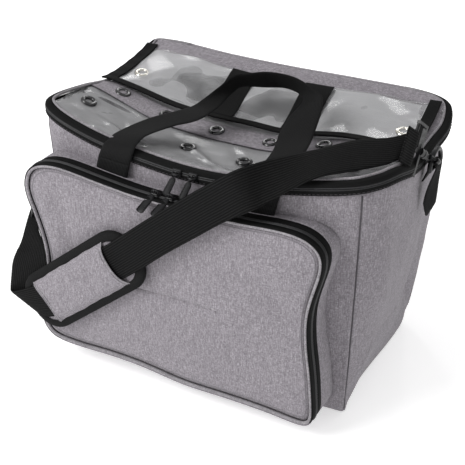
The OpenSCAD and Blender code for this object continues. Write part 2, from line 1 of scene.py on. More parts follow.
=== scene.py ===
import bpy, bmesh, math
import numpy as np
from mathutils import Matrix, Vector


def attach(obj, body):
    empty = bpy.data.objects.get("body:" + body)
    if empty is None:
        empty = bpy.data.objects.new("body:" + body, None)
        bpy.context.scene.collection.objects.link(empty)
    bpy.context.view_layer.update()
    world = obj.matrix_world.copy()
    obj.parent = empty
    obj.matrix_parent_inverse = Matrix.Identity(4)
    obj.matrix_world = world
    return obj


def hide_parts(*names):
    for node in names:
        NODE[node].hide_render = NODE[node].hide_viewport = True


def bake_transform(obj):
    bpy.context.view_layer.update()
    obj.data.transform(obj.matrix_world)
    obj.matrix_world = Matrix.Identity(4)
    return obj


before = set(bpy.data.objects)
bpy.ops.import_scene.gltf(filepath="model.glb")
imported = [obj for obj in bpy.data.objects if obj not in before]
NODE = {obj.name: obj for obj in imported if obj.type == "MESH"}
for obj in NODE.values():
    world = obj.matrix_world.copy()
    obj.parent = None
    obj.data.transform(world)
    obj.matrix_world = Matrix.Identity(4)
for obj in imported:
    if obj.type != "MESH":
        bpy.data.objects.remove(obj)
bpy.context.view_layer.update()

S = 0.001
rng = np.random.default_rng(7)
A = lambda v: np.asarray(v, float)


def unit(v):
    v = A(v)
    return v / (np.linalg.norm(v, axis=-1, keepdims=True) + 1e-12)


# ------------------------------------------------------------------ camera, light, floor
cam_pos, target = A([491.5, -966.1, 743.0]) * S, A([-17.99, 0, 120.8]) * S
cd = bpy.data.cameras.new("camera")
cam = bpy.data.objects.new("camera", cd)
bpy.context.scene.collection.objects.link(cam)
cd.sensor_width = 36
cd.lens = 1099.1 / 465 * 36
cd.clip_start, cd.clip_end = 0.05, 30
cam.location = cam_pos
q = (Vector(target) - Vector(cam_pos)).to_track_quat("-Z", "Y")
cam.rotation_mode = "QUATERNION"
from mathutils import Quaternion
cam.rotation_quaternion = q @ Quaternion((0, 0, 1), math.radians(0.19))
bpy.context.scene.camera = cam
bpy.context.scene.view_settings.view_transform = "Standard"

w = bpy.data.worlds.new("world")
bpy.context.scene.world = w
w.use_nodes = True
w.node_tree.nodes["Background"].inputs[0].default_value = (1, 1, 1, 1)
w.node_tree.nodes["Background"].inputs[1].default_value = 0.56


def area(name, loc, size, power, aim=(0, 0, 0.12), color=(1, 1, 1)):
    l = bpy.data.lights.new(name, "AREA")
    l.shape = "RECTANGLE"
    l.size, l.size_y = size
    l.energy = power
    l.color = color
    o = bpy.data.objects.new(name, l)
    bpy.context.scene.collection.objects.link(o)
    o.location = loc
    o.rotation_mode = "QUATERNION"
    o.rotation_quaternion = (Vector(aim) - Vector(loc)).to_track_quat("-Z", "Y")
    return o


area("key", (-1.3, -1.5, 1.7), (1.2, 1.2), 37)
area("front_low", (-0.8, -1.8, 0.5), (1.0, 1.0), 4.5, aim=(-0.05, 0, 0.2))
area("fill", (1.7, -1.1, 1.1), (1.2, 1.6), 1.6)
area("streak_a", (-1.05, 1.5, 1.15), (0.26, 0.9), 4.0, aim=(0, 0, 0.27))
area("streak_b", (-0.25, 1.8, 1.35), (0.20, 0.8), 3.0, aim=(0, 0, 0.27))
area("top_back", (0.6, 1.3, 2.0), (1.0, 0.6), 5, aim=(0, 0, 0.25))

# ------------------------------------------------------------------ materials
MAT = {}


def new_mat(name):
    m = bpy.data.materials.new(name)
    m.use_nodes = True
    MAT[name] = m
    nt = m.node_tree
    return m, nt, nt.nodes["Principled BSDF"]


def nd(nt, kind, ins=None, **props):
    n = nt.nodes.new(kind)
    for k, v in props.items():
        setattr(n, k, v)
    for k, v in (ins or {}).items():
        if hasattr(v, "is_output"):
            nt.links.new(v, n.inputs[k])
        else:
            n.inputs[k].default_value = v
    return n


def mth(nt, op, a, b=0.0, c=None):
    ins = {0: a, 1: b}
    if c is not None:
        ins[2] = c
    return nd(nt, "ShaderNodeMath", ins, operation=op).outputs[0]


def ramp(nt, fac, stops):
    r = nd(nt, "ShaderNodeValToRGB", {0: fac})
    e = r.color_ramp.elements
    while len(e) > 1:
        e.remove(e[-1])
    for i, (p, c) in enumerate(stops):
        x = e[0] if i == 0 else e.new(p)
        x.position = p
        x.color = (*c, 1)
    return r.outputs[0]


def obj_noise(nt, scale, detail=2.0, rough=0.55, off=(0, 0, 0)):
    tc = nd(nt, "ShaderNodeTexCoord")
    mp = nd(nt, "ShaderNodeMapping", {0: tc.outputs["Object"], "Scale": scale, "Location": off})
    return nd(nt, "ShaderNodeTexNoise", {"Vector": mp.outputs[0], "Scale": 1.0, "Detail": detail, "Roughness": rough}).outputs[0]


def bump(nt, b, height, strength, dist):
    n = nd(nt, "ShaderNodeBump", {"Height": height, "Strength": strength, "Distance": dist})
    nt.links.new(n.outputs[0], b.inputs["Normal"])


def heather(name, lift=1.0):
    m, nt, b = new_mat(name)
    warp = obj_noise(nt, (1500, 1500, 300), 2.0, 0.6)
    weft = obj_noise(nt, (300, 300, 1500), 2.0, 0.6, (3, 5, 7))
    slub = obj_noise(nt, (900, 900, 110), 1.5, 0.5, (9, 1, 4))
    big = obj_noise(nt, (9, 9, 9), 2.0, 0.5, (1, 2, 3))
    v = mth(nt, "ADD", mth(nt, "MULTIPLY", warp, 0.42), mth(nt, "MULTIPLY", weft, 0.36))
    v = mth(nt, "ADD", v, mth(nt, "MULTIPLY", slub, 0.22))
    v = mth(nt, "ADD", v, mth(nt, "MULTIPLY_ADD", big, 0.05, -0.025))
    k = lift * 0.80
    c = ramp(nt, v, [(0.36, (0.165 * k, 0.150 * k, 0.168 * k)), (0.46, (0.245 * k, 0.226 * k, 0.249 * k)),
                     (0.54, (0.330 * k, 0.307 * k, 0.334 * k)), (0.64, (0.48 * k, 0.455 * k, 0.485 * k))])
    nt.links.new(c, b.inputs["Base Color"])
    b.inputs["Roughness"].default_value = 0.9
    b.inputs["Specular IOR Level"].default_value = 0.25
    b.inputs["Sheen Weight"].default_value = 0.08
    b.inputs["Sheen Roughness"].default_value = 0.5
    bump(nt, b, v, 0.4, 0.0005)
    return m


heather("heather_fabric")
heather("lining_cloth", 0.7)


def uv(nt):
    u = nd(nt, "ShaderNodeUVMap", uv_map="uv_m")
    s = nd(nt, "ShaderNodeSeparateXYZ", {0: u.outputs[0]})
    return s.outputs[0], s.outputs[1]


def webbing(name, pitch, col=0.0135, depth=0.00028, cross=0.0011, rib_top_highlight=2.6):
    """woven tape: lengthwise ribs across u, and the weave's short floats along v; colour is lighter on their tops
    (painted highlight) and darker between them (painted shade)
    """
    m, nt, b = new_mat(name)
    u, v = uv(nt)
    ph = mth(nt, "MULTIPLY", u, 2 * math.pi / pitch)
    rib = mth(nt, "ABSOLUTE", mth(nt, "SINE", mth(nt, "MULTIPLY", ph, 0.5)))
    # floats shift by half a step from rib to rib
    sh = mth(nt, "MULTIPLY", mth(nt, "SINE", mth(nt, "MULTIPLY", ph, 0.5)), 1.2)
    fl = mth(nt, "MULTIPLY_ADD", mth(nt, "SINE", mth(nt, "ADD", mth(nt, "MULTIPLY", v, 2 * math.pi / cross), sh)), 0.5, 0.5)
    n = obj_noise(nt, (900, 900, 900), 2.0)
    h = mth(nt, "ADD", mth(nt, "MULTIPLY", rib, 0.75), mth(nt, "MULTIPLY", fl, 0.25))
    t = mth(nt, "ADD", mth(nt, "MULTIPLY", h, 0.65), mth(nt, "MULTIPLY", n, 0.4))
    # colour follows the relief h: painted shade in the gaps, painted highlight on rib tops and floats, plus random tone
    # from noise n
    c = ramp(nt, t, [(0.2, (col * 0.25, col * 0.25, col * 0.26)), (0.6, (col, col, col * 1.02)), (0.92, (col * rib_top_highlight, col * rib_top_highlight, col * rib_top_highlight * 1.02))])
    nt.links.new(c, b.inputs["Base Color"])
    b.inputs["Roughness"].default_value = 0.85
    b.inputs["Specular IOR Level"].default_value = 0.1
    bump(nt, b, h, 0.7, depth)
    return m


# the shoulder strap's ribs get the strongest painted highlight
webbing("strap_webbing", 0.0025, 0.0047, 0.0006, rib_top_highlight=4.6)
webbing("handle_webbing", 0.0017, 0.0082, 0.00014, 0.0016)
webbing("binding_tape", 0.0011, 0.0055, 0.00014, 0.0013)
webbing("pad_tape", 0.0013, 0.0085, 0.00018, 0.0013)


def coil(name):
    m, nt, b = new_mat(name)
    n = obj_noise(nt, (300, 300, 300), 2.0)
    c = ramp(nt, n, [(0.3, (0.006, 0.006, 0.007)), (0.7, (0.014, 0.014, 0.016))])
    nt.links.new(c, b.inputs["Base Color"])
    b.inputs["Roughness"].default_value = 0.5
    return m


coil("zipper_coil")


def piping(name):
    m, nt, b = new_mat(name)
    n = obj_noise(nt, (900, 900, 900), 2.0, 0.6)
    big = obj_noise(nt, (60, 60, 60), 2.0, 0.6)
    c = ramp(nt, mth(nt, "ADD", mth(nt, "MULTIPLY", n, 0.7), mth(nt, "MULTIPLY", big, 0.3)),
             [(0.35, (0.13, 0.122, 0.132)), (0.5, (0.235, 0.222, 0.238)), (0.65, (0.35, 0.335, 0.352))])
    nt.links.new(c, b.inputs["Base Color"])
    b.inputs["Roughness"].default_value = 0.8
    bump(nt, b, n, 0.3, 0.0004)
    return m


piping("piping_cloth")


def vinyl(name, alpha=0.05, rough=0.13, haze_and_reflection_white=0.62):
    """clear flexible vinyl: mostly see-through, a faint cloudiness, white painted reflection towards grazing angles and
    in soft patches, and bright gloss on its ripples
    """
    m, nt, b = new_mat(name)
    fr = nd(nt, "ShaderNodeLayerWeight", {"Blend": 0.22}).outputs["Fresnel"]
    rip = obj_noise(nt, (14, 40, 30), 2.0, 0.5, (2, 0, 0))
    rip2 = obj_noise(nt, (45, 90, 90), 1.0, 0.5)
    # soft noise patches where the white layer grows more opaque: painted reflections
    reflection_patches = ramp(nt, obj_noise(nt, (20, 60, 40), 3.0, 0.6, (5, 5, 0)), [(0.46, (0, 0, 0)), (0.74, (1, 1, 1))])
    bm = nd(nt, "ShaderNodeBump", {"Height": mth(nt, "ADD", rip, mth(nt, "MULTIPLY", rip2, 0.05)), "Strength": 0.24, "Distance": 0.004})
    b.inputs["Base Color"].default_value = (haze_and_reflection_white, haze_and_reflection_white, haze_and_reflection_white * 1.02, 1)
    b.inputs["Roughness"].default_value = rough
    b.inputs["Specular IOR Level"].default_value = 1.0
    nt.links.new(bm.outputs[0], b.inputs["Normal"])
    # opacity of the white layer rises towards grazing angles: partly the real gloss showing, partly white colour as
    # painted reflection; alpha alone is the faint constant cloudiness
    a = mth(nt, "ADD", mth(nt, "MULTIPLY", fr, 0.5), alpha)
    a = mth(nt, "ADD", a, mth(nt, "MULTIPLY", reflection_patches, 0.12))
    a = nd(nt, "ShaderNodeClamp", {0: a, 1: 0.0, 2: 0.8}).outputs[0]
    nt.links.new(a, b.inputs["Alpha"])
    return m


vinyl("clear_vinyl")
vinyl("flap_vinyl", 0.04)


def metal(name, col, metallic, rough, coat=0.0, var=0.3, spec=0.5):
    m, nt, b = new_mat(name)
    n = obj_noise(nt, (120, 120, 120), 3.0, 0.6)
    c = ramp(nt, n, [(0.3, tuple(x * (1 - var) for x in col)), (0.7, tuple(x * (1 + var) for x in col))])
    nt.links.new(c, b.inputs["Base Color"])
    r = nd(nt, "ShaderNodeMapRange", {0: n, 1: 0.3, 2: 0.7, 3: rough * 0.75, 4: rough * 1.3}).outputs[0]
    nt.links.new(r, b.inputs["Roughness"])
    b.inputs["Metallic"].default_value = metallic
    b.inputs["Specular IOR Level"].default_value = spec
    b.inputs["Coat Weight"].default_value = coat
    bump(nt, b, obj_noise(nt, (700, 700, 700), 2.0), 0.08, 0.0003)
    return m


metal("black_metal", (0.007, 0.007, 0.008), 0.0, 0.32, 0.0, 0.25, 0.28)
metal("eyelet_metal", (0.72, 0.70, 0.64), 1.0, 0.22, 0.0, 0.12)
metal("grommet_black", (0.012, 0.012, 0.013), 0.0, 0.20, 0.6)
metal("adjuster_plastic", (0.014, 0.014, 0.015), 0.0, 0.38, 0.1)
metal("board_plastic", (0.05, 0.05, 0.055), 0.0, 0.6)


def flat(name, col, rough, var=0.12, scale=500):
    m, nt, b = new_mat(name)
    n = obj_noise(nt, (scale, scale, scale), 2.0)
    c = ramp(nt, n, [(0.3, tuple(x * (1 - var) for x in col)), (0.7, tuple(x * (1 + var) for x in col))])
    nt.links.new(c, b.inputs["Base Color"])
    b.inputs["Roughness"].default_value = rough
    bump(nt, b, n, 0.15, 0.0003)
    return m


flat("thread_light", (0.5, 0.5, 0.52), 0.7)
flat("thread_dark", (0.06, 0.055, 0.062), 0.8)
flat("thread_grey", (0.19, 0.18, 0.195), 0.8)


# ------------------------------------------------------------------ mesh helpers
def gridF(nu, nv, cu=False, cv=False, flip=False):
    F = []
    for i in range(nu if cu else nu - 1):
        i2 = (i + 1) % nu
        for j in range(nv if cv else nv - 1):
            j2 = (j + 1) % nv
            f = (i * nv + j, i2 * nv + j, i2 * nv + j2, i * nv + j2)
            F.append(f[::-1] if flip else f)
    return F


def mesh(name, P, F, mat, body, slot=None, rep=(), UV=None, smooth=True, fix=True, solid=None, subd=0, bevel=None):
    """P in mm, UV in mm per vertex; the piece rides on a body and may stand for CAD nodes"""
    me = bpy.data.meshes.new(name)
    P = A(P).reshape(-1, 3)
    me.from_pydata((P * S).tolist(), [], [tuple(int(i) for i in f) for f in F])
    if UV is not None:
        UV = A(UV).reshape(-1, 2) * S
        lay = me.uv_layers.new(name="uv_m")
        idx = np.zeros(len(me.loops), np.int32)
        me.loops.foreach_get("vertex_index", idx)
        lay.data.foreach_set("uv", UV[idx].astype(np.float32).ravel())
    if fix:
        bm = bmesh.new()
        bm.from_mesh(me)
        bmesh.ops.recalc_face_normals(bm, faces=bm.faces)
        bm.to_mesh(me)
        bm.free()
    me.polygons.foreach_set("use_smooth", [smooth] * len(me.polygons))
    me.materials.append(MAT[mat])
    o = bpy.data.objects.new(name, me)
    bpy.context.scene.collection.objects.link(o)
    if solid:
        md = o.modifiers.new("thick", "SOLIDIFY")
        md.thickness, md.offset = abs(solid[0]) * S, solid[1]
    if bevel:
        md = o.modifiers.new("bevel", "BEVEL")
        md.width, md.segments, md.limit_method = bevel * S, 2, "ANGLE"
    if subd:
        md = o.modifiers.new("subd", "SUBSURF")
        md.levels = md.render_levels = subd
    if body:
        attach(o, body)
    if rep:
        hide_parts(*([rep] if isinstance(rep, str) else rep))
    return o


def join(parts):
    """several (P, F[, UV]) into one"""
    P, F, U, n = [], [], [], 0
    for p in parts:
        q = A(p[0]).reshape(-1, 3)
        P.append(q)
        F += [tuple(int(i) + n for i in f) for f in p[1]]
        U.append(A(p[2]).reshape(-1, 2) if len(p) > 2 and p[2] is not None else np.zeros((len(q), 2)))
        n += len(q)
    return np.concatenate(P), F, np.concatenate(U)


def crom(K, n, closed=False):
    """Catmull-Rom through rows of K, n samples to each step"""
    K = A(K)
    m = len(K)
    out = []
    for i in range(m if closed else m - 1):
        if closed:
            p0, p1, p2, p3 = K[i - 1], K[i], K[(i + 1) % m], K[(i + 2) % m]
        else:
            p1, p2 = K[i], K[i + 1]
            p0 = K[i - 1] if i else 2 * p1 - p2
            p3 = K[i + 2] if i + 2 < m else 2 * p2 - p1
        d1 = max(np.linalg.norm(p2 - p1), 1e-9)
        d0, d2 = max(np.linalg.norm(p1 - p0), 1e-9), max(np.linalg.norm(p3 - p2), 1e-9)
        a, b, c = d0 ** .5, d1 ** .5, d2 ** .5
        m1 = ((p1 - p0) / a - (p2 - p0) / (a + b) + (p2 - p1) / b) * b
        m2 = ((p2 - p1) / b - (p3 - p1) / (b + c) + (p3 - p2) / c) * b
        for k in range(n):
            t = k / n
            out.append((2 * t**3 - 3 * t**2 + 1) * p1 + (t**3 - 2 * t**2 + t) * m1 + (-2 * t**3 + 3 * t**2) * p2 + (t**3 - t**2) * m2)
    if not closed:
        out.append(K[-1])
    return A(out)


def length_along(P, closed=False):
    d = np.linalg.norm(np.diff(P, axis=0), axis=1)
    return np.concatenate([[0], np.cumsum(d)])


def tangents(P, closed):
    if closed:
        return unit(np.roll(P, -1, 0) - np.roll(P, 1, 0))
    T = np.gradient(P, axis=0)
    return unit(T)


def sweep(path, X, Y, sec, closed, uvec=None):
    """section points (x, y) carried along a path with its own X and Y directions at each point"""
    path, X, Y, sec = A(path), A(X), A(Y), A(sec)
    P = path[:, None, :] + X[:, None, :] * sec[None, :, 0, None] + Y[:, None, :] * sec[None, :, 1, None]
    L = length_along(path)
    w = length_along(sec)
    U = np.stack(np.broadcast_arrays(w[None, :], L[:, None]), -1)
    return P, L, U


def band(path, X, Y, sec, closed=True, closed_sec=True):
    P, L, U = sweep(path, X, Y, sec, closed)
    F = gridF(len(path), len(sec), closed, closed_sec)
    if closed_sec and not closed:
        m = len(sec)
        F += [tuple(range(m)), tuple(range((len(path) - 1) * m, len(path) * m))]
    return P.reshape(-1, 3), F, U.reshape(-1, 2)


def tube(path, r, closed=False, k=10, taper=None):
    path = A(path)
    T = tangents(path, closed)
    up = A([0, 0, 1.0]) if abs(T[0][2]) < 0.9 else A([1.0, 0, 0])
    X = [unit(np.cross(T[0], up))]
    for t in T[1:]:
        x = X[-1] - t * (X[-1] @ t)
        X.append(unit(x))
    X = A(X)
    Y = np.cross(T, X)
    a = np.arange(k) / k * 2 * math.pi
    rr = np.full(len(path), float(r)) if taper is None else r * A(taper)
    P = path[:, None, :] + rr[:, None, None] * (X[:, None, :] * np.cos(a)[None, :, None] + Y[:, None, :] * np.sin(a)[None, :, None])
    L = length_along(path)
    U = np.stack(np.broadcast_arrays((a * r)[None, :], L[:, None]), -1)
    F = gridF(len(path), k, closed, True)
    if not closed:
        F += [tuple(range(k))[::-1], tuple(range((len(path) - 1) * k, len(path) * k))]
    return P.reshape(-1, 3), F, U.reshape(-1, 2)


def ribbon(rows, t=1.8, n=6, ncol=12, crown=0.0, wave=None, raw=False):
    """webbing between pairs of edge points; rows are smoothed, n samples to each step"""
    R = A(rows).reshape(len(rows), 6)
    if not raw:
        R = crom(R, n)
    a, b = R[:, :3], R[:, 3:]
    M = (a + b) / 2
    T = tangents(M, False)
    q = unit(np.cross(T, b - a))
    us = np.linspace(0, 1, ncol + 1)
    prof = np.minimum(1, np.sqrt(np.clip(1 - (2 * us - 1) ** 12, 0.05, 1)))
    w = np.linalg.norm(b - a, axis=1)
    mid = a[:, None] + (b - a)[:, None] * us[None, :, None]
    lift = crown * (1 - (2 * us - 1) ** 2)
    top = mid + q[:, None] * (prof * t / 2 + lift)[None, :, None]
    bot = mid + q[:, None] * (-prof * t / 2 + lift)[None, :, None]
    P = np.concatenate([top, bot[:, ::-1]], 1)
    L = length_along(M)
    uu = np.concatenate([us, us[::-1]])
    U = np.stack(np.broadcast_arrays(w[:, None] * uu[None, :], L[:, None]), -1)
    m = 2 * (ncol + 1)
    F = gridF(len(R), m, False, True)
    F += [tuple(range(m)), tuple(range((len(R) - 1) * m, len(R) * m))]
    return P.reshape(-1, 3), F, U.reshape(-1, 2)


def lathe(profile, centre, axis, k=28):
    """profile of (r, h) turned about axis through centre"""
    z = unit(axis)
    x = unit(np.cross([0, 1, 0.01], z))
    y = np.cross(z, x)
    pr = A(profile)
    a = np.arange(k) / k * 2 * math.pi
    P = A(centre) + pr[None, :, 0, None] * (np.cos(a)[:, None, None] * x + np.sin(a)[:, None, None] * y) + pr[None, :, 1, None] * z
    return P.reshape(-1, 3), gridF(k, len(pr), True, True), None


# ------------------------------------------------------------------ the bag's outline
# top outer edge of the lid, and the ground outline under the same points
TK = [(-180.5, -112, 292), (-164, -121, 287.5), (-120, -127, 276.6), (-60, -131, 268), (10, -132.5, 263.5), (70, -131, 267.3), (125, -126, 275),
      (160, -118, 280), (177, -110, 282.5), (190, -95, 283.8), (198, -72, 283), (200, -40, 275), (198, 0, 267), (197, 40, 267), (198.5, 75, 273),
      (193, 98, 281.5), (183, 111, 283.5), (160, 117.5, 286), (80, 119, 286.5), (0, 119, 285.5), (-80, 119, 286.5), (-160, 118, 290.5), (-184, 112, 289.5),
      (-189, 92, 282), (-184.5, 50, 276), (-182, 10, 276), (-185, -40, 285), (-188, -90, 290.5)]
GK = [(-168, -98, 0), (-150, -101, 0), (-110, -102, 0), (-60, -102, 0), (0, -102, 0), (60, -102, 0), (115, -102, 0),
      (152, -101, 0), (168.5, -98, 0), (167, -84, 0), (164, -62, 0), (163, -32, 0), (164, 2, 0), (166, 40, 0), (166.5, 72, 0),
      (165, 90, 0), (157, 100, 0), (128, 102, 0), (70, 102, 0), (0, 102, 0), (-70, 102, 0), (-145, 102, 0), (-166, 98, 0),
      (-172, 82, 0), (-172, 48, 0), (-172, 5, 0), (-172, -40, 0), (-172, -82, 0)]
NS = 8
T = crom(TK, NS, True)
G = crom(GK, NS, True)
NP = len(T)
tt = tangents(T * [1, 1, 0], True)
NRM = np.stack([tt[:, 1], -tt[:, 0], 0 * tt[:, 0]], 1)
UP = np.tile([0, 0, 1.0], (NP, 1))
key = lambda i: i * NS          # outline index of a control point
HI0, HI1 = key(17) + 3, key(21) - 3   # where the fabric hinge runs along the back
side_w = np.clip(NRM[:, 0], 0, 1) ** 1.5      # how much a point belongs to the right side
left_w = np.clip(-NRM[:, 0], 0, 1) ** 1.5
front_w = np.clip(-NRM[:, 1], 0, 1) ** 2
back_w = np.clip(NRM[:, 1], 0, 1) ** 2


def seg_d(x, z, a, b):
    a, b = A(a), A(b)
    d = b - a
    t = np.clip(((x - a[0]) * d[0] + (z - a[1]) * d[1]) / (d @ d), 0, 1)
    return np.hypot(x - a[0] - t * d[0], z - a[1] - t * d[1]), t


def ridge(x, z, a, b, width, amp, taper=True):
    d, t = seg_d(x, z, a, b)
    f = np.sin(np.pi * np.clip(t, 0.02, 0.98)) ** 0.6 if taper else 1
    return amp * np.exp(-((d / width) ** 2)) * f


def smooth01(x):
    x = np.clip(x, 0, 1)
    return x * x * (3 - 2 * x)


FR_SEAM = key(8)


BH, CZ, PW = 12.4, -5.8, 8.0          # band height, coil line, piping inwards


def wall(drop=11.6, inset=0.0, H=56):
    """rows of points from the ground to drop below the lid's top edge"""
    B = T - [0, 0, drop] - NRM * (0.8 + inset)
    B = B - NRM * (6.0 * side_w * smooth01((T[:, 1] + 10) / 70))[:, None]
    rows = []
    for j in range(H + 1):
        h = j / H
        z = B[:, 2] * h
        y = G[:, 1] + (B[:, 1] - G[:, 1]) * h
        # straight walls, and a right side whose lower part is tucked under
        g0 = h ** 0.9
        zf = 22 + 52 * smooth01((G[:, 1] + 98) / 70) * smooth01((104 - G[:, 1]) / 40)
        xf = 168 + 8 * smooth01((G[:, 1] + 98) / 45) - 11 * smooth01((G[:, 1] - 15) / 60)
        low = smooth01(z / zf) ** 0.85
        xr = np.where(z < zf, G[:, 0] + (xf - G[:, 0]) * low, xf + (B[:, 0] - xf) * ((z - zf) / (B[:, 2] - zf)) ** 0.75)
        xs = G[:, 0] + (B[:, 0] - G[:, 0]) * g0
        tuck = smooth01((G[:, 0] - 100) / 50) * np.clip(NRM[:, 0] * 1.6 + 0.1, 0, 1)
        x = xs * (1 - tuck) + xr * tuck
        P = np.stack([x, y, z], 1)
        out = np.zeros(NP)
        s = math.sin(math.pi * h)
        out += back_w * 5 * s + left_w * 3 * s + side_w * 3.5 * s ** 1.5
        # soft folds of the cloth
        px, py = P[:, 0], P[:, 1]
        fr = front_w * (px > 60)
        out += fr * (ridge(px, z, (104, 252), (158, 214), 5.5, 3.2) + ridge(px, z, (112, 236), (172, 226), 7, -2.4)
                     + ridge(px, z, (150, 256), (172, 238), 4.5, 2.6) + ridge(px, z, (168, 200), (166, 60), 7, -1.6))
        out += front_w * (px < -100) * (ridge(px, z, (-180, 262), (-120, 244), 8, 2.0) + ridge(px, z, (-150, 268), (-118, 230), 6, -1.6))
        out += side_w * (ridge(py, z, (-92, 246), (-60, 110), 15, 2.6) + ridge(py, z, (-84, 236), (-40, 190), 9, -1.6)
                         + ridge(py, z, (-96, 120), (-30, 60), 16, -2.2) + ridge(py, z, (0, 226), (-30, 120), 18, 1.6)
                         + ridge(py, z, (60, 250), (30, 90), 20, 2.2) + ridge(py, z, (-96, 30), (-40, 84), 6, 1.8)
                         + ridge(py, z, (-40, 250), (20, 224), 7, -1.6))
        out += left_w * (ridge(py, z, (-80, 250), (-30, 100), 16, 2.4) + ridge(py, z, (70, 240), (40, 100), 18, 2.0))
        out += back_w * (ridge(px, z, (-120, 250), (-60, 90), 22, 2.5) + ridge(px, z, (130, 250), (60, 80), 24, 2.5) + ridge(px, z, (-30, 220), (30, 210), 9, -2))
        out += 0.5 * np.sin(px * 0.11 + z * 0.05) * np.sin(z * 0.09 + py * 0.07) * s
        # bottom edge turns under a little
        out -= 3.0 * max(0, 1 - h * H / 3.0) ** 2
        out -= 1.3 * max(0, (h - 0.965) / 0.035)
        P = P + NRM * (out - inset * 0.3)[:, None]
        P[:, 2] = np.maximum(P[:, 2], 0.0)
        rows.append(P)
    return A(rows)        # (H+1, NP, 3)


W = wall()
H = len(W) - 1
# seam grooves at the four upright seams
for k0, dep in ((FR_SEAM, 1.3), (key(0), 1.2), (key(16), 1.2), (key(22), 1.2)):
    for d in range(-2, 3):
        W[:, (k0 + d) % NP] -= NRM[(k0 + d) % NP] * dep * math.exp(-(d / 0.8) ** 2)
base_in = W[0] * [0.93, 0.9, 1] + [0, 0, 0]
ctr = np.tile([[0, 0, 0.0]], (NP, 1))
rows = [W[0] * [1, 1, 0]] + [W[0] * [1 - 0.1 * k, 1 - 0.1 * k, 0] for k in range(1, 10)]
shell_rows = np.concatenate([A(rows[::-1]), W[1:]])
nR = len(shell_rows)
F = gridF(nR, NP, False, True)
P = shell_rows.reshape(-1, 3)
P = np.concatenate([P, [[0, 0, 0.0]]])
F += [(len(P) - 1, i, (i + 1) % NP) for i in range(NP)]
mesh("bag_shell", P, F, "heather_fabric", "bag", "heather_fabric",
     ["front_panel", "back_panel", "left_side_panel", "right_side_panel", "bottom_panel"], solid=(2.2, -1))


def wall_at(i, z):
    """point of the outer wall at outline index i and height z"""
    col = W[:, i % NP]
    return A([np.interp(z, col[:, 2], col[:, k]) for k in range(3)])


# lining: a loose sack just inside the shell, and the stiff board under it
LI = wall(drop=11.0, inset=4.2)
L2 = LI[1:]
Lb = [LI[1] * [1, 1, 0] + [0, 0, 8.0]]
for k in range(1, 10):
    Lb.append(LI[1] * [1 - 0.1 * k, 1 - 0.1 * k, 0] + [0, 0, 8.0])
rows = np.concatenate([A(Lb[::-1]), L2[2:]])
rows[len(Lb):, :, 2] = np.maximum(rows[len(Lb):, :, 2], 8.2)
nR = len(rows)
F = gridF(nR, NP, False, True)
P = np.concatenate([rows.reshape(-1, 3), [[0, 0, 8.0]]])
F += [(len(P) - 1, i, (i + 1) % NP) for i in range(NP)]
mesh("lining_sack", P, F, "lining_cloth", "bag", "lining_fabric", "lining", solid=(0.8, 1))
brd = LI[1] * [0.985, 0.97, 0]
P = np.concatenate([brd + [0, 0, 3.2], brd + [0, 0, 6.0]])
F = gridF(2, NP, False, True) + [tuple(range(NP))[::-1], tuple(range(NP, 2 * NP))]
mesh("base_stiffener", P, F, "board_plastic", "bag", "board", "base_board", smooth=False)

# dark seam lines at the upright seams
seams = []
for k0, name in ((FR_SEAM, "front_right"), (key(0), "front_left"), (key(16), "back_right"), (key(22), "back_left")):
    path = W[1:, k0] + NRM[k0] * 0.7
    path = path[::2]
    seams.append(tube(path, 0.75, k=6))
P, F, U = join(seams)
mesh("upright_seams", P, F, "thread_dark", "bag", "heather_fabric")

# ------------------------------------------------------------------ zipper of the lid
def zip_run(i0, i1):
    """outline indices going forwards from i0 to i1"""
    n = (i1 - i0) % NP
    return [(i0 + k) % NP for k in range(n + 1)]


ZI = zip_run(HI1, HI0)      # from the back left round the front to the back right
Zp, Zn, Zu = T[ZI], NRM[ZI], UP[ZI]


def dense(path, N_, step):
    L = length_along(path)
    n = max(2, int(L[-1] / step))
    s = np.linspace(0, L[-1], n)
    P = np.stack([np.interp(s, L, path[:, k]) for k in range(3)], 1)
    X = unit(np.stack([np.interp(s, L, N_[:, k]) for k in range(3)], 1))
    return P, X


def coil_row(path, N_, dz, out, r=1.15, step=0.62):
    """a row of coil: a cord whose radius goes in and out with each turn"""
    P, X = dense(path + [0, 0, dz] + N_ * out, N_, step)
    tp = np.where(np.arange(len(P)) % 2 == 0, 1.0, 0.68)
    a = np.arange(6) / 6 * 2 * math.pi
    Y = np.tile([0, 0, 1.0], (len(P), 1))
    Q = P[:, None] + (r * tp)[:, None, None] * (X[:, None] * np.cos(a)[None, :, None] + Y[:, None] * np.sin(a)[None, :, None])
    F = gridF(len(P), 6, False, True)
    return Q.reshape(-1, 3), F, None


# lower tape, on the bag
sec = [(0.2, CZ - 1.2), (1.2, CZ - 1.6), (1.0, CZ - 4), (0.9, -BH), (-1.3, -BH - 0.4), (-1.2, CZ - 4), (-1.0, CZ - 1.3)]
P, F, U = join([band(Zp, Zn, Zu, sec, False)])
mesh("lid_zip_lower_tape", P, F, "binding_tape", "bag", "zipper_tape", ["body_zipper_half"], UV=U)
P, F, U = join([coil_row(Zp, Zn, CZ - 1.1, 0.5, 1.0)])
mesh("lid_zip_lower_coil", P, F, "zipper_coil", "bag", "zipper_tape")
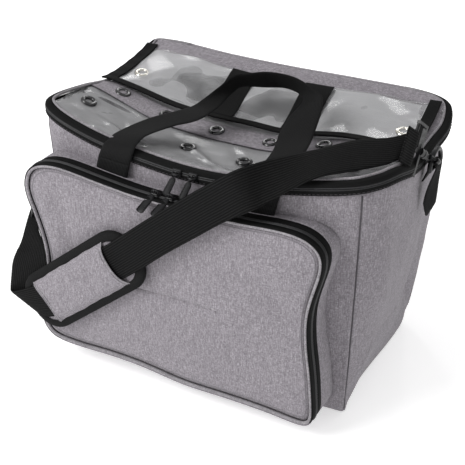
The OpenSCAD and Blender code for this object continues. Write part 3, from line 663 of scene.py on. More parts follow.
# upper tape and the rolled binding, on the lid
sec = [(0.7, CZ + 1.3), (1.0, -3.2), (0.6, -1.6), (-0.6, -0.3), (-2.4, 0.3), (-4.6, 0.5), (-PW + 1.2, 0.2), (-PW + 0.2, -0.6), (-PW + 1, -1.5), (-4.5, -1.3),
       (-2.0, -2.2), (-0.9, -3.8), (-0.8, CZ + 1.2)]
P, F, U = join([band(Zp, Zn, Zu, sec, False)])
mesh("lid_edge_binding", P, F, "binding_tape", "lid", "binding_tape", ["lid_binding", "lid_zipper_half"], UV=U)
P, F, U = join([coil_row(Zp, Zn, CZ + 1.1, 0.5, 1.0)])
mesh("lid_zip_upper_coil", P, F, "zipper_coil", "lid", "zipper_tape")
# a row of stitching along the lower tape
def stitches(path, N_, Y_, out, up, step=4.2, ln=2.6, r=0.3):
    parts = []
    P, X = dense(path, N_, step)
    for i in range(len(P) - 1):
        d = unit(P[i + 1] - P[i])
        c = P[i] + X[i] * out + A(Y_) * up
        parts.append(tube([c - d * ln / 2, c, c + d * ln / 2], r, k=4))
    return join(parts)


P, F, U = stitches(Zp, Zn, (0, 0, 1), 1.2, -BH + 1.5)
mesh("lid_zip_stitching", P, F, "thread_dark", "bag", "zipper_tape")

# piping at the binding's inner edge
IN = T - NRM * PW + [0, 0, 0.2]
pi = IN[ZI] + [0, 0, 0.5]
P, F, U = join([tube(pi, 1.6, k=8)])
mesh("lid_piping_cord", P, F, "piping_cloth", "lid", "piping", "lid_piping", UV=U)
# the fabric hinge along the back: cloth from the back panel up over the lid's edge
HB = zip_run(HI0 - 2, HI1 + 2)
Hp, Hn = T[HB], NRM[HB]
sec = [(0.6, -15), (0.9, -9), (0.4, -3), (-1.8, 0.0), (-6, 1.0), (-10, 0.8), (-10, -0.8), (-6, -0.8), (-2.4, -1.6), (-1.0, -4), (-0.8, -9), (-0.9, -15)]
P, F, U = band(Hp, Hn, UP[HB], sec, False)
hs = mesh("back_hinge_cloth", P, F, "heather_fabric", None, "heather_fabric", ["hinge_strip"], UV=U)
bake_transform(hs)

# ------------------------------------------------------------------ lid surface
POLY = IN[::2]


def lidz(x, y):
    """height of the lid's skin at plan points, carried in from its edge by mean value weights"""
    x, y = np.broadcast_arrays(A(x), A(y))
    shp = x.shape
    X, Y = x.ravel()[:, None], y.ravel()[:, None]
    dx, dy = POLY[None, :, 0] - X, POLY[None, :, 1] - Y
    r = np.hypot(dx, dy) + 1e-6
    dx2, dy2, r2 = np.roll(dx, -1, 1), np.roll(dy, -1, 1), np.roll(r, -1, 1)
    cr = dx * dy2 - dy * dx2
    dt = dx * dx2 + dy * dy2
    tn = cr / (r * r2 + dt + 1e-9)
    w = (tn + np.roll(tn, 1, 1)) / r
    w = np.where(np.isfinite(w), w, 0)
    z = (w * POLY[None, :, 2]).sum(1) / (w.sum(1) + 1e-12)
    near = r.min(1) < 0.6
    zi = POLY[np.argmin(r, 1), 2]
    z = np.where(near | ~np.isfinite(z), zi, z)
    d = r.min(1)
    X, Y = X[:, 0], Y[:, 0]
    amp = 21.0 * (1 - 0.75 * smooth01((X - 25) / 110)) * (1 - 0.50 * smooth01((-X - 60) / 100)) * (1 - 0.85 * smooth01((Y - 5) / 80))
    z = z - amp * (1 - np.exp(-((d / 42.0) ** 1.6)))
    return z.reshape(shp)


Q = IN[:, :2]
def y_front(x):
    sel = Q[:, 1] < -20
    q = Q[sel]
    q = q[np.argsort(q[:, 0])]
    lo = {}
    return np.interp(x, q[:, 0], q[:, 1])


def y_back(x):
    sel = Q[:, 1] > 40
    q = Q[sel]
    q = q[np.argsort(q[:, 0])]
    return np.interp(x, q[:, 0], q[:, 1])


def x_side(y, right):
    sel = (Q[:, 0] > 0) if right else (Q[:, 0] < 0)
    q = Q[sel]
    q = q[(np.abs(q[:, 1]) < 104)]
    q = q[np.argsort(q[:, 1])]
    return np.interp(y, q[:, 1], q[:, 0])


def row_patch(y0, y1, nx, ny, inset_l=0.0, inset_r=0.0, xl=None, xr=None, front=False):
    """patch of the lid between its side edges, row by row"""
    v = np.linspace(0, 1, ny)
    u = np.linspace(0, 1, nx)
    yy = y0 + (y1 - y0) * v
    L = x_side(yy, False) + inset_l if xl is None else np.full(ny, float(xl))
    R = x_side(yy, True) - inset_r if xr is None else np.full(ny, float(xr))
    X = L[None, :] + (R - L)[None, :] * u[:, None]
    Y = np.broadcast_to(yy[None, :], X.shape).copy()
    if front:
        # stretch rows so the first one follows the front edge
        yf = y_front(X)
        Y = yf + (y1 - yf) * v[None, :]
    return X, Y, u, v


def sagz(X, Y, depth, edge=26.0):
    """how far the vinyl hangs below a tight skin"""
    d = np.full(X.shape, 1e9)
    for i in range(0, len(Q), 4):
        d = np.minimum(d, np.hypot(X - Q[i, 0], Y - Q[i, 1]))
    return depth * (1 - np.exp(-d / edge))


# front window
X, Y, u, v = row_patch(-120, -33, 121, 36, 0.4, 0.4, front=True)
Z = lidz(X, Y) - sagz(X, Y, 5.0)
Z += 1.3 * np.sin(X * 0.045 + 1) * np.sin(Y * 0.09) * (1 - np.abs(2 * v[None] - 1) ** 4)
for a, b, wd, am in (((-150, -80), (-60, -100), 5, 2.4), ((-120, -60), (-90, -105), 5, -2.2), ((-40, -60), (40, -116), 4, 2.6), ((0, -40), (60, -100), 5, -2.4),
                     ((90, -50), (150, -100), 6, 2.6), ((120, -44), (176, -70), 5, -2), ((-172, -50), (-110, -40), 5, 2), ((60, -110), (130, -96), 4, 1.8)):
    Z += ridge(X, Y, a, b, wd, am)
P = np.stack([X, Y, Z - 0.5], -1)
mesh("lid_front_vinyl", P.reshape(-1, 3), gridF(*X.shape), "clear_vinyl", "lid", "clear_vinyl", "lid_front_window", solid=(0.5, 0))

# grey strip that holds the back row of grommets
X, Y, u, v = row_patch(-36, -4, 100, 9, 0.6, 0.6)
Z = lidz(X, Y) - sagz(X, Y, 4.0) + 0.6 + 0.5 * np.sin(X * 0.07)
P = np.stack([X, Y, Z], -1)
mesh("grommet_cloth_strip", P.reshape(-1, 3), gridF(*X.shape), "heather_fabric", "lid", "heather_fabric", "grommet_strip", solid=(1.4, 0))

# rear vinyl under the flap
X, Y, u, v = row_patch(-6, 92, 100, 30, 0.6, 0.6)
Z = lidz(X, Y) - sagz(X, Y, 5.5) - 0.6 + 0.8 * np.sin(X * 0.05) * np.sin(Y * 0.08)
P = np.stack([X, Y, Z], -1)
mesh("lid_rear_vinyl", P.reshape(-1, 3), gridF(*X.shape), "clear_vinyl", "lid", "clear_vinyl", "lid_rear_window", solid=(0.5, 0))

# grey cloth at the back of the lid and under the flap's two ends
parts = []
X = np.linspace(-178, 186, 100)
v = np.linspace(0, 1, 12)
XX = np.broadcast_to(X[:, None], (100, 12))
yb = np.minimum(y_back(XX), 108.5)
yfr = 80 + 3 * np.sin(XX * 0.012)
YY = yfr + (yb - yfr) * v[None]
ZZ = lidz(XX, YY) - 3.2 * (1 - v[None]) ** 1.5 + 0.7 + 1.6 * np.sin(np.pi * v[None])
parts.append((np.stack([XX, YY, ZZ], -1).reshape(-1, 3), gridF(100, 12), None))
for s in (-1, 1):
    for (ya, yb2) in ((4, 84),):
        nx, ny = 14, 22
        yy = np.linspace(ya, yb2, ny)
        xo = x_side(yy, s > 0)
        XX = xo[None] - s * np.linspace(0.6, 40, nx)[:, None]
        YY = np.broadcast_to(yy[None], XX.shape)
        ZZ = lidz(XX, YY) - sagz(XX, YY, 4.5) + 0.6
        parts.append((np.stack([XX, YY, ZZ], -1).reshape(-1, 3), gridF(nx, ny), None))
P, F, U = join(parts)
mesh("lid_back_cloth", P, F, "heather_fabric", "lid", "heather_fabric", "lid_rear_frame", solid=(1.5, 0))

# grommets
def lidn(x, y, z):
    e = 4.0
    return unit([-(z(x + e, y) - z(x - e, y)) / (2 * e), -(z(x, y + e) - z(x, y - e)) / (2 * e), 1.0])


def surf(depth, up):
    return lambda x, y: float(lidz(x, y) - sagz(A([[x]]), A([[y]]), depth)[0, 0] + up)


GP = [(4.4, -2.2), (4.4, 1.0), (5.2, 2.1), (6.8, 2.5), (8.2, 1.9), (9.0, 0.6), (9.0, 0.1), (7, 0.1), (7, -1.0), (8.2, -1.2), (8.0, -1.9), (6, -2.3)]
parts = []
for y, dep, up, xs_ in ((-20, 4.0, 1.2, (-145, -89, -27, 37, 98, 154)), (-68, 5.0, 0.0, (-157, -94, -35, 31, 90, 150))):
    f = surf(dep, up)
    for x in xs_:
        parts.append(lathe(GP, (x, y, f(x, y)), lidn(x, y, f)))
P, F, U = join(parts)
mesh("grommet_rings", P, F, "grommet_black", "lid", "grommet", "yarn_grommets")

# ------------------------------------------------------------------ needle flap
FL0, FL1, FY0, FY1 = -177.0, 173.0, 0.0, 90.0


def flapz(x, y):
    x, y = A(x), A(y)
    base = lidz(np.clip(x, -176, 182), y) - sagz(x, y, 3.5)
    return base + 3.6 + 1.3 * np.sin(x * 0.03 + 0.6) * np.sin(np.clip(y, 0, 90) / 90 * np.pi)


def flap_warp(X, Y):
    """the flap's real outline: it spreads to the right at its front, and its two edges are bowed"""
    a, b = (X - FL0) / (FL1 - FL0), np.clip((Y - FY0) / (FY1 - FY0), -0.1, 1)
    yf = np.interp(X, (-180, -150, -100, -66, 0, 58, 110, 158, 185), (-8, -7.5, -4, 0, 0, -4, -7, -6, -3))
    yb = np.interp(X, (-184, -163, -103, -40, 0, 40, 72, 112, 163, 177), (95.5, 95, 91, 83, 84, 85, 87, 91, 95, 95.5))
    X2 = X + a * (15.5 - 5.5 * b) - (1 - a) * 4.0 * b
    return X2, Y + (1 - b) * yf + b * (yb - FY1)


def flap_patch(x0, x1, y0, y1, nx, ny, up=0.0, bulge=0.0):
    u, v = np.linspace(0, 1, nx), np.linspace(0, 1, ny)
    X = np.broadcast_to((x0 + (x1 - x0) * u)[:, None], (nx, ny))
    Y = np.broadcast_to((y0 + (y1 - y0) * v)[None], (nx, ny))
    X, Y = flap_warp(X, Y)
    Z = flapz(X, Y) + up + bulge * (np.sin(np.pi * u)[:, None] * np.sin(np.pi * v)[None]) ** 0.7
    UVv = np.stack([X - x0, Y - y0], -1)
    return np.stack([X, Y, Z], -1).reshape(-1, 3), gridF(nx, ny), UVv.reshape(-1, 2)


o = mesh("flap_back_sheet", *flap_patch(FL0 + 2, FL1 - 2, FY0 + 2, FY1 - 1, 80, 24, -0.8)[:2], "flap_vinyl", "needle_flap", "clear_vinyl", "flap_backing", solid=(0.4, 0))
parts = []
for a, b in ((FL0 + 12, -59), (-33, 29), (61, FL1 - 12)):
    parts.append(flap_patch(a, b, FY0 + 7, FY1 - 5, 40, 24, 0.9, 3.0 if b - a > 80 else 1.8))
for i, p in enumerate(parts):
    r = rng.normal(0, 1, 3)
    q_ = p[0]
    q_[:, 2] += 0.7 * np.sin(q_[:, 0] * 0.06 + q_[:, 1] * 0.10 + r[0]) + 0.5 * np.sin(q_[:, 0] * 0.11 - q_[:, 1] * 0.07 + r[1])
P, F, U = join(parts)
mesh("flap_clear_front", P, F, "flap_vinyl", "needle_flap", "clear_vinyl", "flap_window", solid=(0.5, 0))
# tape round the flap: left, front and right; its back edge is bare vinyl sewn to the lid
parts = [flap_patch(FL0 - 3, FL0 + 11.5, FY0, FY1, 8, 30, 1.7), flap_patch(FL1 - 12.5, FL1, FY0, FY1, 8, 30, 1.7),
         flap_patch(FL0 - 3, FL1, FY0 - 1.5, FY0 + 7.5, 100, 6, 1.9)]
P, F, U = join(parts)
o = mesh("flap_tape", P, F, "binding_tape", "needle_flap", "binding_tape", "flap_binding", UV=U, solid=(2.0, 0), bevel=0.5)
parts = [flap_patch(x0, x1, FY0 + 5, FY1 - 7, 12, 24, 2.6) for x0, x1 in ((-60, -28), (28, 60))]
P, F, U = join(parts)
mesh("flap_bands", P, F, "binding_tape", "needle_flap", "binding_tape", "flap_divider_bands", UV=U, solid=(1.4, 0), bevel=0.4)
EP = [(4.4, -1.6), (4.4, 0.6), (5.0, 1.5), (6.3, 1.9), (7.8, 1.5), (9.0, 0.4), (9.0, 0.0), (6.4, 0.0), (6.4, -0.8), (8.0, -1.0), (7.8, -1.5), (6, -1.8)]
parts = []
ez = lambda x, y: float(flapz(A([[x]]), A([[y]]))[0, 0] + 1.8)
for x, y in ((-151, 30), (164, 33)):
    parts.append(lathe(EP, (x, y, ez(x, y)), lidn(x, y, ez)))
P, F, U = join(parts)
mesh("flap_eyelet_rings", P, F, "eyelet_metal", "needle_flap", "eyelet_metal", "flap_eyelets")

# ------------------------------------------------------------------ front pocket
PK = [(-182.4, 220.5), (-184, 212.0), (-183.2, 203.8), (-181.0, 194.7), (-178, 187.1), (-175.0, 178.1), (-171.5, 166.8), (-167.6, 152.0), (-165.3, 138.5),
      (-164.5, 123.0), (-166, 99.4), (-170.7, 71.3), (-175.2, 53.7), (-175.8, 46.0), (-174.0, 38.9), (-169.0, 31.6), (-162.4, 27), (-154.6, 24.9),
      (-137.6, 23.7), (-115.1, 24), (-92.7, 25), (-71.0, 25), (-49.4, 24.2), (-28.2, 22), (-7.5, 19.4), (9.1, 18.2), (25.5, 18.2), (64.1, 19.1),
      (102.8, 18.4), (122.0, 17), (137.2, 16), (147.5, 17), (153.6, 22), (155.7, 31.0), (155.0, 45.9), (153.4, 66.3), (151.1, 86.1), (148.2, 105.3),
      (146.4, 124.7), (146.2, 144.1), (148.3, 160.2), (152.7, 178.6), (157.4, 196.8), (158.8, 209.0), (157.5, 217.8), (153.4, 225), (145.1, 231.4),
      (133.0, 235.4), (115.9, 236.6), (98.5, 235.8), (79.5, 234.2), (61.3, 233.2), (28.4, 232.6), (-11.0, 232.9), (-51.6, 234.5), (-70.6, 236.5),
      (-93.1, 239.0), (-115.7, 242.0), (-134.1, 243.8), (-146.6, 243.8), (-161.1, 241.4), (-171.2, 236.6), (-178.6, 229.6)]
PO = crom(PK, 4, True)                       # X, Z
for _ in range(3):
    PO = (np.roll(PO, 1, 0) + 2 * PO + np.roll(PO, -1, 0)) / 4
PN = len(PO)
ptan = tangents(np.stack([PO[:, 0], 0 * PO[:, 0], PO[:, 1]], 1), True)
POUT = np.stack([-ptan[:, 2], 0 * ptan[:, 0], ptan[:, 0]], 1)     # outline goes clockwise seen from the front
if (POUT[PO[:, 1].argmax()][2]) < 0:
    POUT = -POUT
PC = np.stack([PO[:, 0], 0 * PO[:, 0], PO[:, 1]], 1)
FWD = np.tile([0, -1.0, 0], (PN, 1))
# how far forward the face's edge stands, the same all round
yedge = np.full(PN, 155.5)
PE = PC - np.stack([0 * yedge, yedge, 0 * yedge], 1)
keyp = lambda i: (i * 4) % PN
# the zipper runs from the lower left corner over the top to the lower right corner
ZPK = [(keyp(32) + k) % PN for k in range((keyp(17) - keyp(32)) % PN + 1)]

# face: rings from its edge to a line across the middle, crowned
nr = 26
c2 = np.stack([np.clip(PO[:, 0], -90, 60) * 0.75, 0 * PO[:, 0], 0 * PO[:, 1] + 126.0], 1)
rr = np.linspace(0, 1, nr)
face = []
edge = PC - POUT * 4.4
for r in rr:
    p = c2 + (edge - c2) * (r ** 0.85)
    y = -(yedge - 2.6) * 1.0 - 4.5 * (1 - r ** 3.0)
    p = p.copy()
    p[:, 1] = y if np.ndim(y) else np.full(PN, y)
    x, z = p[:, 0], p[:, 2]
    f = 1 - r ** 5
    k = (ridge(x, z, (-176, 236), (-150, 90), 13, 3.0) + ridge(x, z, (-150, 224), (-118, 120), 12, -3.4) + ridge(x, z, (-60, 232), (-50, 150), 20, 2.0)
         + ridge(x, z, (-100, 220), (-20, 200), 14, -2.0) + ridge(x, z, (60, 214), (150, 176), 14, 2.0) + ridge(x, z, (90, 176), (146, 128), 12, -3.0)
         + ridge(x, z, (30, 150), (110, 100), 26, 1.8) + ridge(x, z, (-20, 120), (40, 60), 30, -1.2) + ridge(x, z, (110, 70), (150, 60), 10, -1.4)
         + ridge(x, z, (-140, 60), (-40, 40), 20, 1.4))
    p[:, 1] -= k * f
    face.append(p)
face = A(face)
P = face.reshape(-1, 3)
F = gridF(nr, PN, False, True)
mesh("pocket_front_cloth", P, F, "heather_fabric", "pocket_front", "heather_fabric", "pocket_face", solid=(2.4, -1))
# stitched line inside the piping
path = face[-2] + [0, -0.1, 0]
P, F, U = join([tube(path, 0.45, closed=True, k=5)])
mesh("pocket_edge_stitch", P, F, "thread_grey", "pocket_front", "heather_fabric")
# piping
path = PE - POUT * 2.0 + [0, 1.0, 0]
P, F, U = join([tube(path, 1.9, closed=True, k=10)])
mesh("pocket_piping_cord", P, F, "piping_cloth", "pocket_front", "piping", "pocket_piping", UV=U)


def prun(path_idx):
    return PE[path_idx], POUT[path_idx], FWD[path_idx]


zp, zo, zf_ = prun(ZPK)
# the two tapes lie along the pocket's side; x is outwards and y forwards in the section
sec = [(-0.6, 0.6), (0.6, 0.2), (0.9, -1.5), (0.8, -6.6), (-0.9, -6.6), (-1.0, -1.0)]
P, F, U = band(zp, zo, zf_, sec, False)
mesh("pocket_zip_front_tape", P, F, "binding_tape", "pocket_front", "zipper_tape", "pocket_inner_zipper_half", UV=U)


def pcoil(dy, out=0.6, r=1.15, step=0.62):
    P0 = zp + zf_ * dy + zo * out
    Pd, X = dense(P0, zo, step)
    tp = np.where(np.arange(len(Pd)) % 2 == 0, 1.0, 0.68)
    a = np.arange(6) / 6 * 2 * math.pi
    Yv = np.tile([0, -1.0, 0], (len(Pd), 1))
    Qv = Pd[:, None] + (r * tp)[:, None, None] * (X[:, None] * np.cos(a)[None, :, None] + Yv[:, None] * np.sin(a)[None, :, None])
    return Qv.reshape(-1, 3), gridF(len(Pd), 6, False, True), None


P, F, U = pcoil(-7.6)
mesh("pocket_zip_front_coil", P, F, "zipper_coil", "pocket_front", "zipper_tape")
P, F, U = pcoil(-9.9)
mesh("pocket_zip_back_coil", P, F, "zipper_coil", "bag", "zipper_tape")
sec = [(0.8, -10.9), (0.9, -15), (0.8, -20.5), (-0.8, -20.5), (-0.9, -10.9)]
P, F, U = band(zp, zo, zf_, sec, False)
mesh("pocket_zip_back_tape", P, F, "binding_tape", "bag", "zipper_tape", "pocket_outer_zipper_half", UV=U)
# gusset cloth from the zipper back to the bag, bowed out a little
rows = []
yb = PE + FWD * -20
idx_f = [i for i in range(NP) if NRM[i, 1] < -0.6]


def front_y(x, z):
    """where the body's front face is at x, z"""
    out = []
    fx = W[:, idx_f]
    for xx, zz in zip(np.ravel(x), np.ravel(z)):
        j = int(np.clip(np.searchsorted(W[:, idx_f[0], 2], zz), 0, H))
        row = fx[min(j, H)]
        o_ = np.argsort(row[:, 0])
        out.append(np.interp(xx, row[o_, 0], row[o_, 1]))
    return A(out)


fy = front_y(PC[:, 0], np.clip(PC[:, 2], 2, 240)) + 1.0
for k, s_ in enumerate(np.linspace(0, 1, 6)):
    p = PC.copy() + POUT * (0.35 * math.sin(math.pi * s_) - 0.1)
    ya = PE[:, 1] + 19.6
    p[:, 1] = ya + (np.maximum(fy, ya + 2) - ya) * s_
    rows.append(p)
mesh("pocket_side_cloth", A(rows).reshape(-1, 3), gridF(6, PN, False, True), "heather_fabric", "bag", "heather_fabric", "pocket_gusset", solid=(1.6, 0))
# at the bottom between the zipper's ends, cloth folds round to the face
bi = [(keyp(17) + k) % PN for k in range((keyp(32) - keyp(17)) % PN + 1)]
rows = [PE[bi] + POUT[bi] * 0.2 + FWD[bi] * d for d in (-20.0, -14, -8, -3, 0.4)]
bh = mesh("pocket_bottom_cloth", A(rows).reshape(-1, 3), gridF(5, len(bi)), "heather_fabric", None, "heather_fabric", solid=(1.4, 0))
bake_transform(bh)

# ------------------------------------------------------------------ carry handles
cam_mm = A([491.5, -966.1, 743.0])
fw_ = unit(A([-17.99, 0, 120.8]) - cam_mm)
rt_ = unit(np.cross(fw_, [0, 0, 1.0]))
up_ = np.cross(rt_, fw_)


def at(px, py, y):
    """the point at depth y seen at (px, py) from the camera"""
    d = fw_ + rt_ * (px - 232.5) / 1099.1 - up_ * (py - 232.5) / 1099.1
    return list(cam_mm + d * (y - cam_mm[1]) / d[1])


LEG = [[at(94.5, 184, -131.2), at(124.5, 195, -131.2)], [at(95.5, 175, -131.8), at(126, 186, -132)], [at(96.4, 166.4, -132.6), at(127.3, 176.4, -133)],
       [at(98.4, 156, -133.6), at(129.6, 166, -134.6)], [at(100.8, 149.5, -134), at(131.6, 157.5, -136)], [at(104.3, 143, -131), at(134.3, 149, -134)],
       [at(109.2, 138, -122), at(138.4, 143, -127)], [at(116.5, 132.6, -109), at(144.5, 137.2, -118)]]
RL = [at(283.5, 183.5, -132), at(281.8, 189, -135), at(279.4, 197.5, -134.6), at(276.4, 208, -133.2), at(273.6, 218, -132.2), at(271, 228, -131.6)]
RLEG = [[[x, y, z], [x - 38, y - 0.2, z - 1.0]] for x, y, z in RL]
kl = next(i for i, r_ in enumerate(LEG) if min(r_[0][2], r_[1][2]) > 243)
kr = max(i for i, r_ in enumerate(RLEG) if min(r_[0][2], r_[1][2]) > 243)
HF = LEG[kl:] + [[[-79, -72, 278], [-45, -80, 279]], [[-60, -46, 280.5], [-28, -58, 281]],
      [[-50, -29, 282], [-22, -30, 284]], [[-33, -12, 297], [-22, 8, 289]], [[-19, 2, 310], [-18, 23, 291]],
      [[-9, 9, 312], [5, 33, 291]], [[12, 19, 315], [23, 41, 291]], [[46, 15, 317], [45, 33, 291]],
      [[76, 2, 313], [56, 16, 290]], [[91, -10, 309], [57, -17, 287]], [[97, -43, 288], [60, -46, 281.5]],
      [[103, -75, 283.5], [68, -77, 277]], [[104, -106, 280], [71, -107, 275]], [[105, -122, 278.5], [68, -124, 272.5]]] + RLEG[:kr + 1]
P, F, U = ribbon(HF, 1.9, 6, 12, 0.0)
mesh("front_handle_loop", P, F, "handle_webbing", "front_handle_loop", "webbing", ["front_handle"], UV=U)
# the legs sewn on the front, behind the pocket
parts = []
for low in (LEG[:kl + 1], RLEG[kr:]):
    if len(low) > 1:
        parts.append(ribbon(low, 1.9, 4, 12))
for s in (-1, 1):
    r_ = [[[s * 88 - 19, float(front_y([s * 88 - 19], [z])[0]) - 1.2, z], [s * 88 + 19, float(front_y([s * 88 + 19], [z])[0]) - 1.2, z]] for z in (160, 185, 210, 228)]
    parts.append(ribbon(r_, 1.9, 3, 12))
P, F, U = join(parts)
mesh("front_handle_legs", P, F, "handle_webbing", "bag", "webbing", "front_handle_anchors", UV=U)
HBk = [[[-107, 121, 253], [-69, 121, 253]], [[-107, 123.5, 262], [-69, 123.5, 262]],
       [[-107, 128, 266.5], [-69, 128, 266.5]], [[-107, 132.5, 261], [-69, 132.5, 261]], [[-106.5, 133, 246], [-68.5, 133.5, 246]],
       [[-104, 133, 220], [-67, 134, 222]], [[-98, 132, 170], [-62, 134.5, 176]], [[-84, 132, 130], [-50, 137, 142]], [[-60, 132, 101], [-36, 143, 123]],
       [[-32, 133, 87], [-20, 147, 115]], [[0, 133, 83], [0, 149, 113]], [[32, 133, 87], [20, 147, 115]], [[60, 132, 101], [36, 143, 123]],
       [[84, 132, 130], [50, 137, 142]], [[98, 132, 170], [62, 134.5, 176]], [[104, 133, 220], [67, 134, 222]], [[106.5, 133, 246], [68.5, 133.5, 246]],
       [[107, 132.5, 261], [69, 132.5, 261]], [[107, 128, 266.5], [69, 128, 266.5]], [[107, 123.5, 262], [69, 123.5, 262]], [[107, 121, 253], [69, 121, 253]]]
P, F, U = ribbon(HBk, 1.9, 6, 12)
mesh("back_handle_loop", P, F, "handle_webbing", "back_handle_loop", "webbing", "back_handle", UV=U)
idx_b = [i for i in range(NP) if NRM[i, 1] > 0.6]


def back_y(x, z):
    fx = W[:, idx_b]
    out = []
    for xx, zz in zip(np.ravel(x), np.ravel(z)):
        j = int(np.clip(np.searchsorted(W[:, idx_b[0], 2], zz), 0, H))
        row = fx[min(j, H)]
        o_ = np.argsort(row[:, 0])
        out.append(np.interp(xx, row[o_, 0], row[o_, 1]))
    return A(out)


parts = []
for s in (-1, 1):
    r_ = [[[s * 88 - 19, float(back_y([s * 88 - 19], [z])[0]) + 1.2, z], [s * 88 + 19, float(back_y([s * 88 + 19], [z])[0]) + 1.2, z]] for z in (170, 195, 220, 240, 256)]
    parts.append(ribbon(r_, 1.9, 3, 12))
P, F, U = join(parts)
mesh("back_handle_legs", P, F, "handle_webbing", "bag", "webbing", "back_handle_anchors", UV=U)
# box stitching on the back legs
parts = []
for s in (-1, 1):
    for (a, b) in (((-15, 180), (15, 180)), ((15, 180), (15, 206)), ((15, 206), (-15, 206)), ((-15, 206), (-15, 180)), ((-15, 180), (15, 206)), ((15, 180), (-15, 206))):
        p = [(s * 88 + a[0] + (b[0] - a[0]) * t, 0, a[1] + (b[1] - a[1]) * t) for t in np.linspace(0, 1, 9)]
        for i in range(8):
            c = A(p[i]) + (A(p[i + 1]) - A(p[i])) * 0.35
            y = float(back_y([c[0]], [c[2]])[0]) + 2.3
            d = unit(A(p[i + 1]) - A(p[i]))
            c[1] = y
            parts.append(tube([c - d * 1.3, c, c + d * 1.3], 0.3, k=4))
P, F, U = join(parts)
mesh("back_leg_stitching", P, F, "thread_grey", "bag", "webbing")

# ------------------------------------------------------------------ shoulder strap, from the CAD rings' places
def R3(ax, deg):
    c, s = math.cos(math.radians(deg)), math.sin(math.radians(deg))
    return {"x": A([[1, 0, 0], [0, c, -s], [0, s, c]]), "y": A([[c, 0, s], [0, 1, 0], [-s, 0, c]]), "z": A([[c, -s, 0], [s, c, 0], [0, 0, 1]])}[ax]


side_k = (384 - 344) / 2 / ((266 + 246) / 2)
lean = math.atan(side_k)
bar_b = (253 - 256 + 14 * math.sin(lean)) / math.cos(lean)
BX = 192 + 14 * math.cos(lean) + bar_b * math.sin(lean)
HL, RR, SW = 48, 17, 43
pull_r = A([-math.sin(math.radians(11)), -math.sin(math.radians(52)) * math.cos(math.radians(11)), math.cos(math.radians(52)) * math.cos(math.radians(11))])
bar_r = A([BX, 14 - RR * math.sin(math.radians(52)), 253 + RR * math.cos(math.radians(52))]) + HL * pull_r
across_r = A([0, math.cos(math.radians(52)), math.sin(math.radians(52))])
pull_l = A([0, -math.sin(math.radians(50)), -math.cos(math.radians(50))])
bar_l = A([-BX, 14, 253]) + (RR + HL) * pull_l
across_l = A([0, -math.cos(math.radians(50)), math.sin(math.radians(50))])


def round_bar(P, u, n, ac):
    c = [P + 20 * u - 1.2 * n, P + 10 * u - 1.6 * n, P + 2 * u - 3 * n] + [P + 3.0 * (math.sin(math.radians(a)) * n - math.cos(math.radians(a)) * u) for a in (-90, -45, 0, 45, 90)]
    c += [P + 10 * u + 1.9 * n, P + 17 * u + 1.3 * n]
    return [[x + ac * SW / 2, x - ac * SW / 2] for x in c]


CR = [[a_ - across_r * 7.0, b_] for a_, b_ in round_bar(bar_r, pull_r, np.cross(pull_r, across_r), across_r)[:-2]]  # gathered a little at its upper edge
CR += [[[187.5, -31.0, 301.5], [192, -56, 285]], [[175, -40.5, 298.5], [184, -70, 284.3]]]
CL = round_bar(bar_l, pull_l, np.cross(pull_l, across_l), across_l)
DOWN = [[[148, -60, 298], [163, -96, 284]], [[118, -95, 295], [134, -130, 283]], [[84, -133, 292], [96.5, -152, 258]],
        [at(235, 170, -158), at(249.5, 212, -162)], [at(205, 185.5, -163), at(224, 222.5, -166)], [at(176, 202, -166.5), at(195.5, 238, -168.5)], [at(148.3, 218.5, -168.5), at(167, 253.6, -169.8)],
        [at(118.6, 237.5, -170), at(137, 272, -170.4)], [at(84, 259, -170.4), at(100, 291.5, -170.4)], [at(46, 282, -169.5), at(63, 314, -169.5)]]
UPR = [[at(14, 292, -167.5), at(47, 317.5, -167.5)], [at(11.5, 291.5, -164), at(44.5, 317, -164)], [at(10.7, 290.5, -160), at(44, 316.5, -160)],
       [at(10.7, 287.5, -156.6), at(45, 313.5, -156.6)], [at(11.5, 276, -155.5), at(48, 300, -156)], [at(13, 262, -153), at(50, 282, -156)],
       [at(16.6, 252, -148), at(47.5, 262, -153)], [at(21, 243, -138), at(45.4, 249, -146)], [at(31.9, 207, -108), at(38, 222, -121)],
       [[-214.6, -78, 166], [-199, -93, 190.4]], [[-206, -59.5, 176], [-205, -78, 206.5]]]
rows = CR + DOWN + UPR + CL[::-1]
P, F, U = ribbon(rows, 1.9, 7, 16)
mesh("strap_webbing_run", P, F, "strap_webbing", "strap", "webbing", ["shoulder_strap"], UV=U)

# ------------------------------------------------------------------ pad: foam, sleeve and binding
pc = A([-113.1 + 2.6, -164, 119.7 - 0.2])
pu = A([math.cos(math.radians(39.35)), 0, math.sin(math.radians(39.35))])
pa = A([-math.sin(math.radians(39.35)), 0, math.cos(math.radians(39.35))])
pf = A([0, -1.0, 0])


def pad_pt(a, b, f):
    return pc + pu * a + pa * b + pf * f


def rounded(l, w_, r, n=10):
    out = []
    for cx, cy, a0 in ((l / 2 - r, w_ / 2 - r, 0), (-l / 2 + r, w_ / 2 - r, 90), (-l / 2 + r, -w_ / 2 + r, 180), (l / 2 - r, -w_ / 2 + r, 270)):
        for i in range(n + 1):
            a = math.radians(a0 + 90 * i / n)
            out.append((cx + r * math.cos(a), cy + r * math.sin(a)))
    return A(out)


